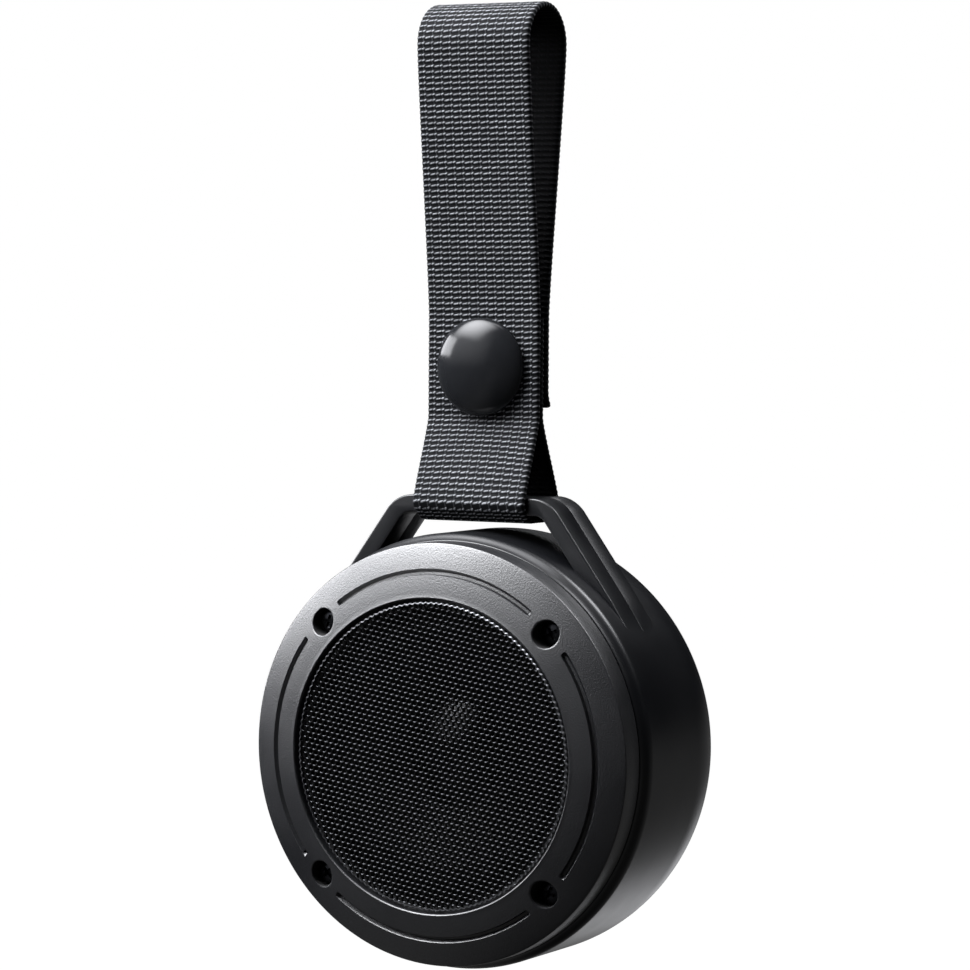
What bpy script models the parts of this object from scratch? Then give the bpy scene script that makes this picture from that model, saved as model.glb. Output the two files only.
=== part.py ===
"""A hanging shower speaker: a round drum moulded with its handle, a screwed-on front bezel with a
perforated grille, the loudspeaker and electronics inside it, and a webbing strap closed by a snap."""

import math

import bmesh
import bpy
from mathutils import Vector

MM = 0.001

# Fits
SEAT_GAP = 0.15 * MM  # between two pieces that rest on each other
RUN_GAP = 0.25 * MM  # round a piece that moves in a hole
LAY_GAP = 0.1 * MM  # between the layers that the snap holds together

# Drum and handle, one moulding. The drum turns about Y, its front faces -Y and
# y = 0 is the parting plane of its mould, which is also the middle of the handle.
DRUM_RIM_RADIUS = 41.3 * MM
DRUM_BELLY = 1.3 * MM  # rise of the drum's side from its rim to its widest
DRUM_FRONT = 13.0 * MM
DRUM_SHOULDER = 2.5 * MM  # depth of the rounding behind its front edge
DRUM_BACK = 32.0 * MM
DRUM_BACK_ROUND = 23.5 * MM
DRUM_BACK_TURN = math.radians(75)
DRUM_WALL = 2.4 * MM
BAR_RISE = 3.3 * MM
BAR_THICKNESS = 3.7 * MM
HANDLE_DEPTH = 11.5 * MM
HANDLE_CORNER = 7.5 * MM
HANDLE_INNER_CORNER = 2.5 * MM
HANDLE_EDGE = 1.0 * MM
HANDLE_EDGE_TURN = math.radians(60)  # corners that turn more than this are rounded
LEG_THICKNESS = 3.6 * MM
LEG_LEAN = math.radians(36)
LEG_PROUD = 0.4 * MM  # of the drum's side, before it fades into it
LEG_FADE = 6.0 * MM
LEG_SINK = 0.05 * MM

# Front bezel
BEZEL_RIM = 8.8 * MM  # from the drum's front edge out to the rim of the grille opening
BEZEL_DROP = 3.5 * MM  # from that rim back to the bezel's outer edge
BEZEL_CROWN = 0.53 * MM
BEZEL_SHY = 0.15 * MM  # inside the drum's rim
BEZEL_DRAFT = 0.1 * MM
BEZEL_PARTING = 0.45 * MM
BEZEL_EDGE_ROUND = 0.4 * MM
BEZEL_WEB = 4.2 * MM  # from the rim back to the face that the loudspeaker sits on
TONGUE_LENGTH = 3.1 * MM
TONGUE_THICKNESS = 2.2 * MM
TONGUE_GAP = 0.4 * MM
BEZEL_INNER_BAND = 4.55 * MM  # from the grille opening out to the screws' circle
LEDGE_WIDTH = 2.1 * MM
LEDGE_DEPTH = 2.2 * MM
GROOVE_WIDTH = 1.2 * MM
GROOVE_HALF_ANGLE = math.radians(36)
GROOVE_OFFSET = 0.55 * MM  # outside the screws' circle
GROOVE_STEPS = 8

# Screws of the bezel
BEZEL_OUTER_BAND = 6.3 * MM  # from the screws' circle out to the drum's rim
SCREW_COUNT = 4
SCREW_HEAD_RADIUS = 2.3 * MM
SCREW_HEAD_HEIGHT = 1.7 * MM
SCREW_CROWN_RADIUS = 1.6 * MM
SCREW_CROWN_HEIGHT = 0.75 * MM
RECESS_REACH = 1.25 * MM
RECESS_WIDTH = 0.7 * MM
RECESS_DEPTH = 1.0 * MM
SCREW_SHANK_RADIUS = 1.1 * MM
SCREW_LENGTH = 12.0 * MM
SCREW_SEAT_DEPTH = 5.3 * MM  # of the well, below the rim of the grille opening
WELL_RADIUS = 2.6 * MM
POST_RADIUS = 3.4 * MM
RIB_THICKNESS = 2.4 * MM

# Seal and grille
SEAL_RADIUS = 0.55 * MM
GRILLE_THICKNESS = 0.8 * MM
GRILLE_PITCH = 5.2 * MM  # coarser than the real sheet
GRILLE_BAR = 2.4 * MM
GRILLE_ROW_SLOPE = math.radians(-9)
GRILLE_HOLE_SIDES = 8

# Loudspeaker
DRIVER_LAP = 0.25 * MM  # of the loudspeaker's flange behind the grille opening's edge
DRIVER_GASKET = 0.55 * MM
SURROUND_THICKNESS = 0.4 * MM
SURROUND_ROLL = 1.5 * MM
CONE_INSET = 8.2 * MM  # from the loudspeaker's edge in to the cone's
CONE_DEPTH = 7.2 * MM
CONE_THICKNESS = 0.5 * MM
FLANGE_WIDTH = 3.7 * MM
FLANGE_THICKNESS = 1.2 * MM
BASKET_SHEET = 1.1 * MM
BASKET_DEPTH = 12.1 * MM
BASKET_WINDOWS = 4
BASKET_WINDOW_WIDTH = 15.0 * MM
BASKET_WINDOW_FOOT = 10.5 * MM
SPIDER_INSET = 4.7 * MM  # from the cone's edge
SPIDER_THICKNESS = 0.4 * MM
SPIDER_FOLDS = 4
COIL_RADIUS = 8.8 * MM
COIL_WALL = 0.5 * MM
COIL_LENGTH = 9.0 * MM
COIL_CLEARANCE = 0.6 * MM
CUP_WALL = 1.6 * MM
CUP_DEPTH = 7.2 * MM
CUP_SHOULDER = 1.2 * MM
MAGNET_HEIGHT = 4.0 * MM
POLE_DISC_HEIGHT = 1.6 * MM
DUST_CAP_RADIUS = 10.4 * MM
DUST_CAP_HEIGHT = 3.0 * MM
TERMINAL_LENGTH = 8.0 * MM
TERMINAL_HEIGHT = 1.8 * MM
TERMINAL_DEPTH = 1.5 * MM

# Rear panel with its keys and charging port
DISH_RADIUS = 13.0 * MM
DISH_DEPTH = 1.2 * MM
KEY_RADIUS = 3.5 * MM
KEY_CIRCLE = 7.0 * MM
KEY_PROUD = 0.7 * MM
KEY_CROWN = 0.3 * MM
KEY_FLAT_RADIUS = 2.2 * MM
MAT_RADIUS = 12.0 * MM
MAT_THICKNESS = 0.85 * MM
MAT_NUB_RADIUS = 1.4 * MM
MAT_NUB_LENGTH = 2.6 * MM
NUB_GAP = 0.3 * MM
SWITCH_SIDE = 4.5 * MM
SWITCH_HEIGHT = 2.6 * MM
SWITCH_PLUNGER = 0.9 * MM
SWITCH_PLUNGER_SIDE = 2.2 * MM
PORT_DROP = 18.4 * MM  # of the port below the drum's axis
PORT_PLUG = (8.0 * MM, 3.2 * MM, 1.6 * MM)
PORT_HOLE_CLEARANCE = 0.6 * MM
COVER_WIDTH = 12.0 * MM
COVER_HEIGHT = 6.4 * MM
COVER_THICKNESS = 1.4 * MM
COVER_CORNER = 1.6 * MM
COVER_SUNK = 0.15 * MM

# Electronics
BOARD_INSET = 10.3 * MM  # from the drum's rim
BOARD_THICKNESS = 1.6 * MM
BOARD_SCREW_INSET = 3.7 * MM  # from the board's edge
BOARD_SCREW_ANGLE = math.radians(20)
BOARD_SCREW_HEAD = 1.9 * MM
BOARD_SCREW_HEAD_HEIGHT = 1.3 * MM
BOARD_SCREW_SHANK = 0.9 * MM
BOARD_SCREW_LENGTH = 6.0 * MM
STANDOFF_RADIUS = 2.4 * MM
BATTERY_SIZE = (30.0 * MM, 5.5 * MM, 15.0 * MM)
BATTERY_DROP = 21.5 * MM
BATTERY_ROUND = 1.4 * MM
PAD_SIZE = (24.0 * MM, 10.5 * MM)
PAD_THICKNESS = 0.8 * MM
SHIELD_SIZE = (13.0 * MM, 2.0 * MM, 10.0 * MM)
SHIELD_CORNER = 0.5 * MM
SHIELD_RISE = 19.0 * MM
SOCKET_SIZE = (7.6 * MM, 5.4 * MM, 2.9 * MM)
SOCKET_CORNER = 0.7 * MM
SOCKET_WALL = 0.5 * MM
PINHOLE_OFFSET = 0.5 * MM  # outside the screws' circle
MICROPHONE_ANGLE = math.radians(-125.7)  # from straight up, to the right as seen from the front
MICROPHONE_RADIUS = 1.5 * MM
MICROPHONE_HEIGHT = 1.6 * MM
PINHOLE_RADIUS = 0.45 * MM
LEAD_RADIUS = 0.55 * MM
LEAD_SPACING = 4.0 * MM
LEAD_STEPS = 4

# Strap of webbing and its snap
STRAP_WIDTH = 25.0 * MM
STRAP_THICKNESS = 1.2 * MM
STRAP_STEPS = 12  # along each stretch between bends
STRAP_BAR_GAP = 0.25 * MM
FRONT_SLACK = 0.3 * MM  # between the bar's front and the webbing
BACK_SLACK = 1.1 * MM
BAR_TURN = 2.4 * MM  # radius in which the webbing's middle turns under the bar
LOOP_RADIUS = 6.9 * MM  # inside the top of the hanging loop
LOOP_SET_BACK = 1.4 * MM  # behind the middle of the handle, and the same at the snap
SNAP_SET_BACK = 0.8 * MM
LOOP_HEIGHT = 70.1 * MM  # from the snap's centre up to the inside of the loop
SNAP_RISE = 24.9 * MM  # from the bar's top up to the snap's centre
SNAP_FLAT = 9.5 * MM  # half the height over which the snap holds the layers flat
FLAP_BELOW_SNAP = 7.4 * MM
TAB_ABOVE_SNAP = 9.7 * MM
BEND_BELOW_CAP = 2.9 * MM
LOOP_EASE = 0.12  # share of the loop's height over which each end of its sides turns
BAR_EASE = 0.12  # the same, from the bar up to the snap
CAP_RADIUS = 9.6 * MM
CAP_HEIGHT = 3.8 * MM
CAP_RIM = 0.5 * MM
CAP_POST_RADIUS = 2.4 * MM
CAP_POST_WALL = 0.65 * MM
SOCKET_RADIUS = 6.2 * MM
SOCKET_PLATE = 0.4 * MM
STUD_RADIUS = 5.6 * MM
STUD_PLATE = 0.3 * MM
STUD_NIPPLE = 2.0 * MM
RIVET_HEAD_RADIUS = 4.4 * MM
RIVET_CROWN_RADIUS = 3.5 * MM
RIVET_HEAD_HEIGHT = 0.6 * MM
RIVET_SHANK_RADIUS = 1.7 * MM
RIVET_PIN_RADIUS = 0.8 * MM

# Radii that follow from the drum's rim
drum_radius = DRUM_RIM_RADIUS + DRUM_BELLY
bezel_skirt_radius = DRUM_RIM_RADIUS - BEZEL_SHY
bezel_edge_radius = bezel_skirt_radius - BEZEL_DRAFT
screw_circle = DRUM_RIM_RADIUS - BEZEL_OUTER_BAND
groove_circle = screw_circle + GROOVE_OFFSET
pinhole_circle = screw_circle + PINHOLE_OFFSET
opening_radius = screw_circle - BEZEL_INNER_BAND
driver_radius = opening_radius + DRIVER_LAP
cone_radius = driver_radius - CONE_INSET
spider_radius = cone_radius - SPIDER_INSET
board_radius = DRUM_RIM_RADIUS - BOARD_INSET
board_screw_circle = board_radius - BOARD_SCREW_INSET

# Heights above the drum's axis, and depths from the parting plane, that several pieces share
bar_bottom = drum_radius + BAR_RISE
bar_top = bar_bottom + BAR_THICKNESS
snap_height = bar_top + SNAP_RISE
bend_height = snap_height - CAP_RADIUS - BEND_BELOW_CAP
loop_top = snap_height + LOOP_HEIGHT
loop_middle_radius = LOOP_RADIUS + STRAP_THICKNESS / 2
loop_centre = loop_top - LOOP_RADIUS
flap_hinge = LOOP_SET_BACK + loop_middle_radius
strap_front = -HANDLE_DEPTH / 2 - FRONT_SLACK - STRAP_THICKNESS / 2
strap_back = HANDLE_DEPTH / 2 + BACK_SLACK + STRAP_THICKNESS / 2
turn_height = bar_bottom - STRAP_BAR_GAP - STRAP_THICKNESS / 2 + BAR_TURN
rim_front = -DRUM_FRONT - BEZEL_RIM
driver_seat = rim_front + BEZEL_WEB
screw_seat = rim_front + SCREW_SEAT_DEPTH
tongue_end = -DRUM_FRONT - BEZEL_PARTING + TONGUE_LENGTH
tongue_radius = DRUM_RIM_RADIUS - DRUM_WALL - TONGUE_GAP
microphone_circle = tongue_radius - TONGUE_THICKNESS - SEAT_GAP - MICROPHONE_RADIUS
grille_ledge = rim_front + LEDGE_DEPTH
gasket_back = driver_seat + SEAT_GAP + DRIVER_GASKET
surround_back = gasket_back + SEAT_GAP + SURROUND_THICKNESS
flange_front = surround_back + SEAT_GAP
flange_back = flange_front + FLANGE_THICKNESS
terminal_rise = driver_radius - TERMINAL_HEIGHT
basket_back = flange_front + BASKET_DEPTH
panel_inside = DRUM_BACK - DRUM_WALL
mat_back = panel_inside - SEAT_GAP
mat_front = mat_back - MAT_THICKNESS
switch_top = mat_front - MAT_NUB_LENGTH - NUB_GAP
board_back = switch_top - SWITCH_PLUNGER - SWITCH_HEIGHT - SEAT_GAP
board_front = board_back - BOARD_THICKNESS

# The layers at the snap, front to back, as the depth of each layer's middle
stack_depth = 3 * STRAP_THICKNESS + 4 * LAY_GAP + SOCKET_PLATE + STUD_PLATE
front_layer = SNAP_SET_BACK - stack_depth / 2 + STRAP_THICKNESS / 2
middle_layer = front_layer + STRAP_THICKNESS + LAY_GAP
flap_layer = front_layer + stack_depth - STRAP_THICKNESS
cap_back = front_layer - STRAP_THICKNESS / 2 - LAY_GAP
socket_front = middle_layer + STRAP_THICKNESS / 2 + LAY_GAP
stud_front = socket_front + SOCKET_PLATE + LAY_GAP
rivet_front = flap_layer + STRAP_THICKNESS / 2 + LAY_GAP

FINE = 40  # sides of the drum and bezel
MEDIUM = 24  # of the loudspeaker and the snap
COARSE = 12  # of screws and bosses
KEY_SIDES = 16  # of the keys and the holes they move in
LEAST = 8  # of small holes
SHARP = math.radians(35)  # smooth shading stops at edges that turn more than this
ROUND_END = [math.radians(a) for a in (15, 40, 65)]  # steps that round off an end


def clear_scene():
    for obj in list(bpy.data.objects):
        bpy.data.objects.remove(obj, do_unlink=True)


def make_empty(name, location, parent=None):
    empty = bpy.data.objects.new(name, None)
    empty.empty_display_size = 10 * MM
    empty.location = location
    empty.parent = parent
    bpy.context.scene.collection.objects.link(empty)
    return empty


def make_object(name, bm, parent, location=(0, 0, 0), smooth=True):
    bmesh.ops.recalc_face_normals(bm, faces=bm.faces)
    mesh = bpy.data.meshes.new(name)
    bm.to_mesh(mesh)
    bm.free()
    if smooth:
        mesh.shade_smooth()
        mesh.set_sharp_from_angle(angle=SHARP)
    obj = bpy.data.objects.new(name, mesh)
    obj.location = location
    obj.parent = parent
    bpy.context.scene.collection.objects.link(obj)
    return obj


def finish(obj, colour, roughness, metallic=0.0):
    material = bpy.data.materials.new(obj.name)
    material.use_nodes = True
    shader = material.node_tree.nodes["Principled BSDF"]
    shader.inputs["Base Color"].default_value = (*colour, 1.0)
    shader.inputs["Roughness"].default_value = roughness
    shader.inputs["Metallic"].default_value = metallic
    obj.data.materials.append(material)
    return obj


def black_plastic(obj):
    return finish(obj, (0.012, 0.012, 0.013), 0.42)


def black_rubber(obj):
    return finish(obj, (0.015, 0.015, 0.016), 0.7)


def webbing(obj):
    return finish(obj, (0.018, 0.018, 0.02), 0.85)


def steel(obj):
    return finish(obj, (0.55, 0.55, 0.56), 0.35, 1.0)


def boolean(target, tool, operation="DIFFERENCE"):
    tool.hide_render = True
    tool.display_type = "WIRE"
    modifier = target.modifiers.new(tool.name, "BOOLEAN")
    modifier.operation = operation
    modifier.object = tool


def arc(centre, radius, start, end, steps):
    """Points on a circle, from the start angle to the end angle."""
    angles = [start + (end - start) * i / steps for i in range(steps + 1)]
    return [(centre[0] + radius * math.cos(a), centre[1] + radius * math.sin(a)) for a in angles]


def rounded(corners, steps=3):
    """An outline from (x, z, radius) corners, with an arc in place of each corner that has a radius."""
    outline = []
    for i, (x, z, radius) in enumerate(corners):
        here = Vector((x, z))
        if not radius:
            outline.append((x, z))
            continue
        before = (Vector(corners[i - 1][:2]) - here).normalized()
        after = (Vector(corners[(i + 1) % len(corners)][:2]) - here).normalized()
        half = before.angle(after) / 2
        centre = here + (before + after).normalized() * radius / math.sin(half)
        first = here + before * radius / math.tan(half) - centre
        last = here + after * radius / math.tan(half) - centre
        start = math.atan2(first.y, first.x)
        turn = math.atan2(first.x * last.y - first.y * last.x, first.dot(last))
        outline += arc(centre, radius, start, start + turn, steps)
    return outline


def bezier(a, b, c, d, steps):
    """Points of a cubic curve from a to d."""
    points = []
    for i in range(steps + 1):
        t = i / steps
        s = 1 - t
        weights = (s**3, 3 * s * s * t, 3 * s * t * t, t**3)
        points.append(tuple(sum(w * p for w, p in zip(weights, row)) for row in zip(a, b, c, d)))
    return points


def add_turned(bm, profile, segments, at=(0, 0)):
    """Turns a profile of (radius, y) points about an axis along Y that passes through at = (x, z)."""
    part = bmesh.new()
    verts = [part.verts.new((radius, y, 0)) for radius, y in profile]
    open_ended = profile[0][0] == 0 and profile[-1][0] == 0
    pairs = zip(verts, verts[1:] + ([] if open_ended else verts[:1]))
    edges = [part.edges.new(pair) for pair in pairs]
    bmesh.ops.spin(
        part, geom=verts + edges, axis=(0, 1, 0), angle=math.tau, steps=segments, use_merge=True
    )
    bmesh.ops.remove_doubles(part, verts=part.verts, dist=0.001 * MM)
    bmesh.ops.translate(part, verts=part.verts, vec=(at[0], 0, at[1]))
    bmesh.ops.recalc_face_normals(part, faces=part.faces)
    add_mesh(bm, part)


def add_mesh(bm, part):
    """Copies a finished bmesh into another one."""
    mesh = bpy.data.meshes.new("part")
    part.to_mesh(mesh)
    part.free()
    bm.from_mesh(mesh)
    bpy.data.meshes.remove(mesh)


def add_prism(bm, outline, y0, y1):
    """Extrudes an outline of (x, z) points from y0 to y1."""
    part = bmesh.new()
    face = part.faces.new([part.verts.new((x, y0, z)) for x, z in outline])
    grown = bmesh.ops.extrude_face_region(part, geom=[face])["geom"]
    moved = [item for item in grown if isinstance(item, bmesh.types.BMVert)]
    bmesh.ops.translate(part, verts=moved, vec=(0, y1 - y0, 0))
    bmesh.ops.recalc_face_normals(part, faces=part.faces)
    add_mesh(bm, part)


def add_loft(bm, rings):
    """Joins equal rings of points into one closed skin with flat ends."""
    part = bmesh.new()
    rows = [[part.verts.new(point) for point in ring] for ring in rings]
    part.faces.new(rows[0])
    part.faces.new(rows[-1])
    for low, high in zip(rows, rows[1:]):
        for i in range(len(low)):
            part.faces.new((low[i - 1], low[i], high[i], high[i - 1]))
    bmesh.ops.recalc_face_normals(part, faces=part.faces)
    add_mesh(bm, part)


def disc(radius, y0, y1):
    return [(0, y0), (radius, y0), (radius, y1), (0, y1)]


def ring(inner, outer, y0, y1):
    return [(inner, y0), (outer, y0), (outer, y1), (inner, y1)]


def rectangle(width, height, at=(0, 0), corner=0.0):
    x, z = at
    return rounded([
        (x - width / 2, z - height / 2, corner),
        (x + width / 2, z - height / 2, corner),
        (x + width / 2, z + height / 2, corner),
        (x - width / 2, z + height / 2, corner),
    ])


def on_circle(radius, angle):
    """(x, z) at an angle from straight up, towards +X."""
    return radius * math.sin(angle), radius * math.cos(angle)


def screw_places():
    return [on_circle(screw_circle, math.tau * (i + 0.5) / SCREW_COUNT) for i in range(SCREW_COUNT)]


def board_screw_places():
    x = board_screw_circle * math.cos(BOARD_SCREW_ANGLE)
    z = board_screw_circle * math.sin(BOARD_SCREW_ANGLE)
    return [(x, z), (-x, z), (-x, -z), (x, -z)]


def key_places():
    return {
        "call_key": (0, KEY_CIRCLE),
        "volume_up_key": (-KEY_CIRCLE, 0),
        "power_key": (0, -KEY_CIRCLE),
        "volume_down_key": (KEY_CIRCLE, 0),
    }


def turned_object(name, profile, parent, segments=MEDIUM, location=(0, 0, 0)):
    bm = bmesh.new()
    add_turned(bm, profile, segments)
    return make_object(name, bm, parent, location)


def prism_object(name, outline, y0, y1, parent, location=(0, 0, 0)):
    bm = bmesh.new()
    add_prism(bm, outline, y0, y1)
    return make_object(name, bm, parent, location, smooth=False)


def drum_side(inset):
    """The drum's side and rounded back edge as (radius, y) points, moved in by a wall thickness."""
    barrel = (DRUM_SHOULDER**2 + DRUM_BELLY**2) / (2 * DRUM_BELLY)
    turn = math.asin(DRUM_SHOULDER / barrel)
    front = arc((drum_radius - barrel, DRUM_SHOULDER - DRUM_FRONT), barrel - inset, -turn, 0, 3)
    back_centre = DRUM_BACK - DRUM_BACK_ROUND * math.sin(DRUM_BACK_TURN)
    centre = (drum_radius - DRUM_BACK_ROUND, back_centre)
    back = arc(centre, DRUM_BACK_ROUND - inset, 0, DRUM_BACK_TURN, 6)
    return front, back


def handle_outline():
    """The arch of the handle, seen from the front. Each leg runs down along the drum and fades into it."""
    along = Vector((math.sin(LEG_LEAN), -math.cos(LEG_LEAN)))
    outward = Vector((math.cos(LEG_LEAN), math.sin(LEG_LEAN)))
    outer = drum_radius + LEG_PROUD
    inner = outer - LEG_THICKNESS
    buried = drum_radius - DRUM_WALL / 3
    fade = outward * outer - along * LEG_FADE
    foot_turn = math.atan2(fade.y, fade.x) - math.acos((drum_radius - LEG_SINK) / fade.length)
    outer_foot = Vector((math.cos(foot_turn), math.sin(foot_turn))) * (drum_radius - LEG_SINK)
    inner_foot = outward * inner - along * math.sqrt(buried**2 - inner**2)
    outer_corner = (outer - bar_top * outward.y) / outward.x
    inner_corner = (inner - bar_bottom * outward.y) / outward.x
    half = [
        (outer_corner, bar_top, HANDLE_CORNER),
        (fade.x, fade.y, 0),
        (outer_foot.x, outer_foot.y, 0),
        (inner_foot.x, inner_foot.y, 0),
        (inner_corner, bar_bottom, HANDLE_INNER_CORNER),
    ]
    return rounded(half + [(-x, z, radius) for x, z, radius in reversed(half)], 4)


def rib_and_boss_outline(x, z):
    """A screw boss with the rib that ties it to the drum's wall."""
    turn = math.atan2(x, z)
    reach = drum_radius - screw_circle
    bite = math.asin(RIB_THICKNESS / 2 / POST_RADIUS)
    outline = arc((0, 0), POST_RADIUS, math.pi / 2 + bite, math.pi * 2.5 - bite, 9)
    outline += [(RIB_THICKNESS / 2, reach), (-RIB_THICKNESS / 2, reach)]
    c, s = math.cos(turn), math.sin(turn)
    return [(x + u * c + v * s, z + v * c - u * s) for u, v in outline]


def make_housing(parent):
    front, back = drum_side(0)
    inner_front, inner_back = drum_side(DRUM_WALL)
    mouth = (DRUM_RIM_RADIUS - DRUM_WALL, -DRUM_FRONT)
    outside = front + back + [(0, DRUM_BACK)]
    inside = [mouth] + inner_front[1:] + inner_back[:-1]
    inside += [(inner_back[-1][0], panel_inside), (0, panel_inside)]
    bm = bmesh.new()
    add_turned(bm, list(reversed(outside)) + inside, FINE)
    housing = make_object("housing", bm, parent)

    bm = bmesh.new()
    add_prism(bm, handle_outline(), -HANDLE_DEPTH / 2, HANDLE_DEPTH / 2)
    handle = make_object("handle_arch", bm, parent)
    edge = handle.modifiers.new("rounded edges", "BEVEL")
    edge.width = HANDLE_EDGE
    edge.segments = 2
    edge.limit_method = "ANGLE"
    edge.angle_limit = HANDLE_EDGE_TURN
    boolean(housing, handle, "UNION")

    bm = bmesh.new()
    for x, z in screw_places():
        add_prism(bm, rib_and_boss_outline(x, z), tongue_end + SEAT_GAP, DRUM_BACK)
    for place in board_screw_places():
        add_turned(bm, disc(STANDOFF_RADIUS, board_back + SEAT_GAP, DRUM_BACK), COARSE, place)
    bosses = make_object("bosses_and_standoffs", bm, parent)
    front, back = drum_side(DRUM_WALL / 2)
    bm = bmesh.new()
    middle = DRUM_BACK - DRUM_WALL / 2
    add_turned(bm, [(0, -DRUM_FRONT)] + front + back[:-1] + [(back[-1][0], middle), (0, middle)], FINE)
    boolean(bosses, make_object("inside_the_wall", bm, parent), "INTERSECT")
    boolean(housing, bosses, "UNION")

    bm = bmesh.new()
    add_turned(bm, disc(DISH_RADIUS, DRUM_BACK - DISH_DEPTH, DRUM_BACK + DRUM_WALL), MEDIUM)
    for place in screw_places():
        tip = screw_seat + SCREW_LENGTH + RUN_GAP
        add_turned(bm, disc(SCREW_SHANK_RADIUS + RUN_GAP, tongue_end - DRUM_WALL, tip), LEAST, place)
    for place in board_screw_places():
        tip = board_front + BOARD_SCREW_LENGTH + RUN_GAP
        add_turned(bm, disc(BOARD_SCREW_SHANK + RUN_GAP, board_front, tip), LEAST, place)
    side = COVER_WIDTH / 2 + RUN_GAP
    low = -PORT_DROP - COVER_HEIGHT / 2 - RUN_GAP
    high = -PORT_DROP + COVER_HEIGHT / 2 + RUN_GAP
    corners = [(-side, high, 0), (-side, low, COVER_CORNER), (side, low, COVER_CORNER), (side, high, 0)]
    floor = DRUM_BACK - COVER_SUNK - COVER_THICKNESS - SEAT_GAP
    add_prism(bm, rounded(corners), floor, DRUM_BACK + DRUM_WALL)
    boolean(housing, make_object("housing_recesses", bm, parent))

    bm = bmesh.new()
    for place in key_places().values():
        add_turned(bm, disc(KEY_RADIUS + RUN_GAP, panel_inside - DRUM_WALL, DRUM_BACK), KEY_SIDES, place)
    clear = 2 * PORT_HOLE_CLEARANCE
    hole = rectangle(PORT_PLUG[0] + clear, PORT_PLUG[1] + clear, (0, -PORT_DROP), PORT_PLUG[1] / 3)
    add_prism(bm, hole, panel_inside - DRUM_WALL, DRUM_BACK)
    boolean(housing, make_object("housing_holes", bm, parent))
    black_plastic(housing)


def bezel_face():
    """Centre and radius of the arc of the bezel's crowned face, in (radius, y)."""
    inner = Vector((opening_radius, rim_front))
    outer = Vector((bezel_edge_radius, rim_front + BEZEL_DROP))
    chord = outer - inner
    radius = (chord.length_squared / 4 + BEZEL_CROWN**2) / (2 * BEZEL_CROWN)
    out = Vector((chord.y, -chord.x)).normalized()
    return (inner + outer) / 2 - out * (radius - BEZEL_CROWN), radius


def face_depth(at_radius):
    centre, radius = bezel_face()
    return centre.y - math.sqrt(radius**2 - (at_radius - centre.x) ** 2)


def groove_rings(middle_angle):
    """Rings of the tube that cuts one arc-shaped groove, drawn to a point at both ends."""
    width = GROOVE_WIDTH / 2
    depth = face_depth(groove_circle)
    end_angle = width / groove_circle
    stations = [(-1 - end_angle * math.cos(a) / GROOVE_HALF_ANGLE, math.sin(a)) for a in ROUND_END]
    stations += [(-1 + 2 * i / GROOVE_STEPS, 1.0) for i in range(GROOVE_STEPS + 1)]
    stations += [(-share, size) for share, size in reversed(stations[:len(ROUND_END)])]
    rings = []
    for share, size in stations:
        angle = middle_angle + GROOVE_HALF_ANGLE * share
        ring_points = []
        for radius, y in arc((groove_circle, depth), width * size, 0, math.tau * 5 / 6, 5):
            x, z = on_circle(radius, angle)
            ring_points.append((x, y, z))
        rings.append(ring_points)
    return rings


def make_bezel(parent):
    centre, radius = bezel_face()
    skirt_back = -DRUM_FRONT - BEZEL_PARTING
    edge = rim_front + BEZEL_DROP
    start = math.atan2(rim_front - centre.y, opening_radius + BEZEL_EDGE_ROUND - centre.x)
    end = math.atan2(edge - centre.y, bezel_edge_radius - BEZEL_EDGE_ROUND - centre.x)
    face = arc(centre, radius, start, end, 4)
    profile = [(opening_radius, rim_front + BEZEL_EDGE_ROUND)] + face
    profile += [(bezel_edge_radius, edge + BEZEL_EDGE_ROUND / 2), (bezel_skirt_radius, skirt_back)]
    profile += [(tongue_radius, skirt_back), (tongue_radius, tongue_end)]
    tongue_inside = tongue_radius - TONGUE_THICKNESS
    profile += [(tongue_inside, tongue_end), (tongue_inside, driver_seat)]
    hole = opening_radius - LEDGE_WIDTH
    profile += [(hole, driver_seat), (hole, grille_ledge), (opening_radius, grille_ledge)]
    bm = bmesh.new()
    add_turned(bm, profile, FINE)
    bezel = make_object("front_bezel", bm, parent)

    bm = bmesh.new()
    for place in screw_places():
        add_turned(bm, disc(POST_RADIUS, driver_seat - BEZEL_WEB / 4, tongue_end), COARSE, place)
    boolean(bezel, make_object("bezel_posts", bm, parent), "UNION")

    bm = bmesh.new()
    seal_middle = (skirt_back + tongue_end) / 2
    groove = SEAL_RADIUS + SEAT_GAP
    floor = tongue_radius + TONGUE_GAP - 2 * groove
    add_turned(bm, ring(floor, DRUM_RIM_RADIUS, seal_middle - groove, seal_middle + groove), FINE)
    well_mouth = rim_front - BEZEL_WEB
    shank = SCREW_SHANK_RADIUS + RUN_GAP
    well = [(0, well_mouth), (WELL_RADIUS, well_mouth), (WELL_RADIUS, screw_seat), (shank, screw_seat)]
    well += [(shank, tongue_end + BEZEL_WEB), (0, tongue_end + BEZEL_WEB)]
    for place in screw_places():
        add_turned(bm, well, COARSE, place)
    for i in range(SCREW_COUNT):
        add_loft(bm, groove_rings(math.tau * i / SCREW_COUNT))
    pinhole = disc(PINHOLE_RADIUS, well_mouth, driver_seat + BEZEL_WEB)
    add_turned(bm, pinhole, LEAST, on_circle(pinhole_circle, MICROPHONE_ANGLE))
    boolean(bezel, make_object("bezel_cuts", bm, parent))
    black_plastic(bezel)

    seal_ring = tongue_radius + TONGUE_GAP - groove
    section = arc((seal_ring, seal_middle), SEAL_RADIUS, 0, math.tau * 5 / 6, 5)
    black_rubber(turned_object("bezel_seal", section, parent, FINE))


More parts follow.
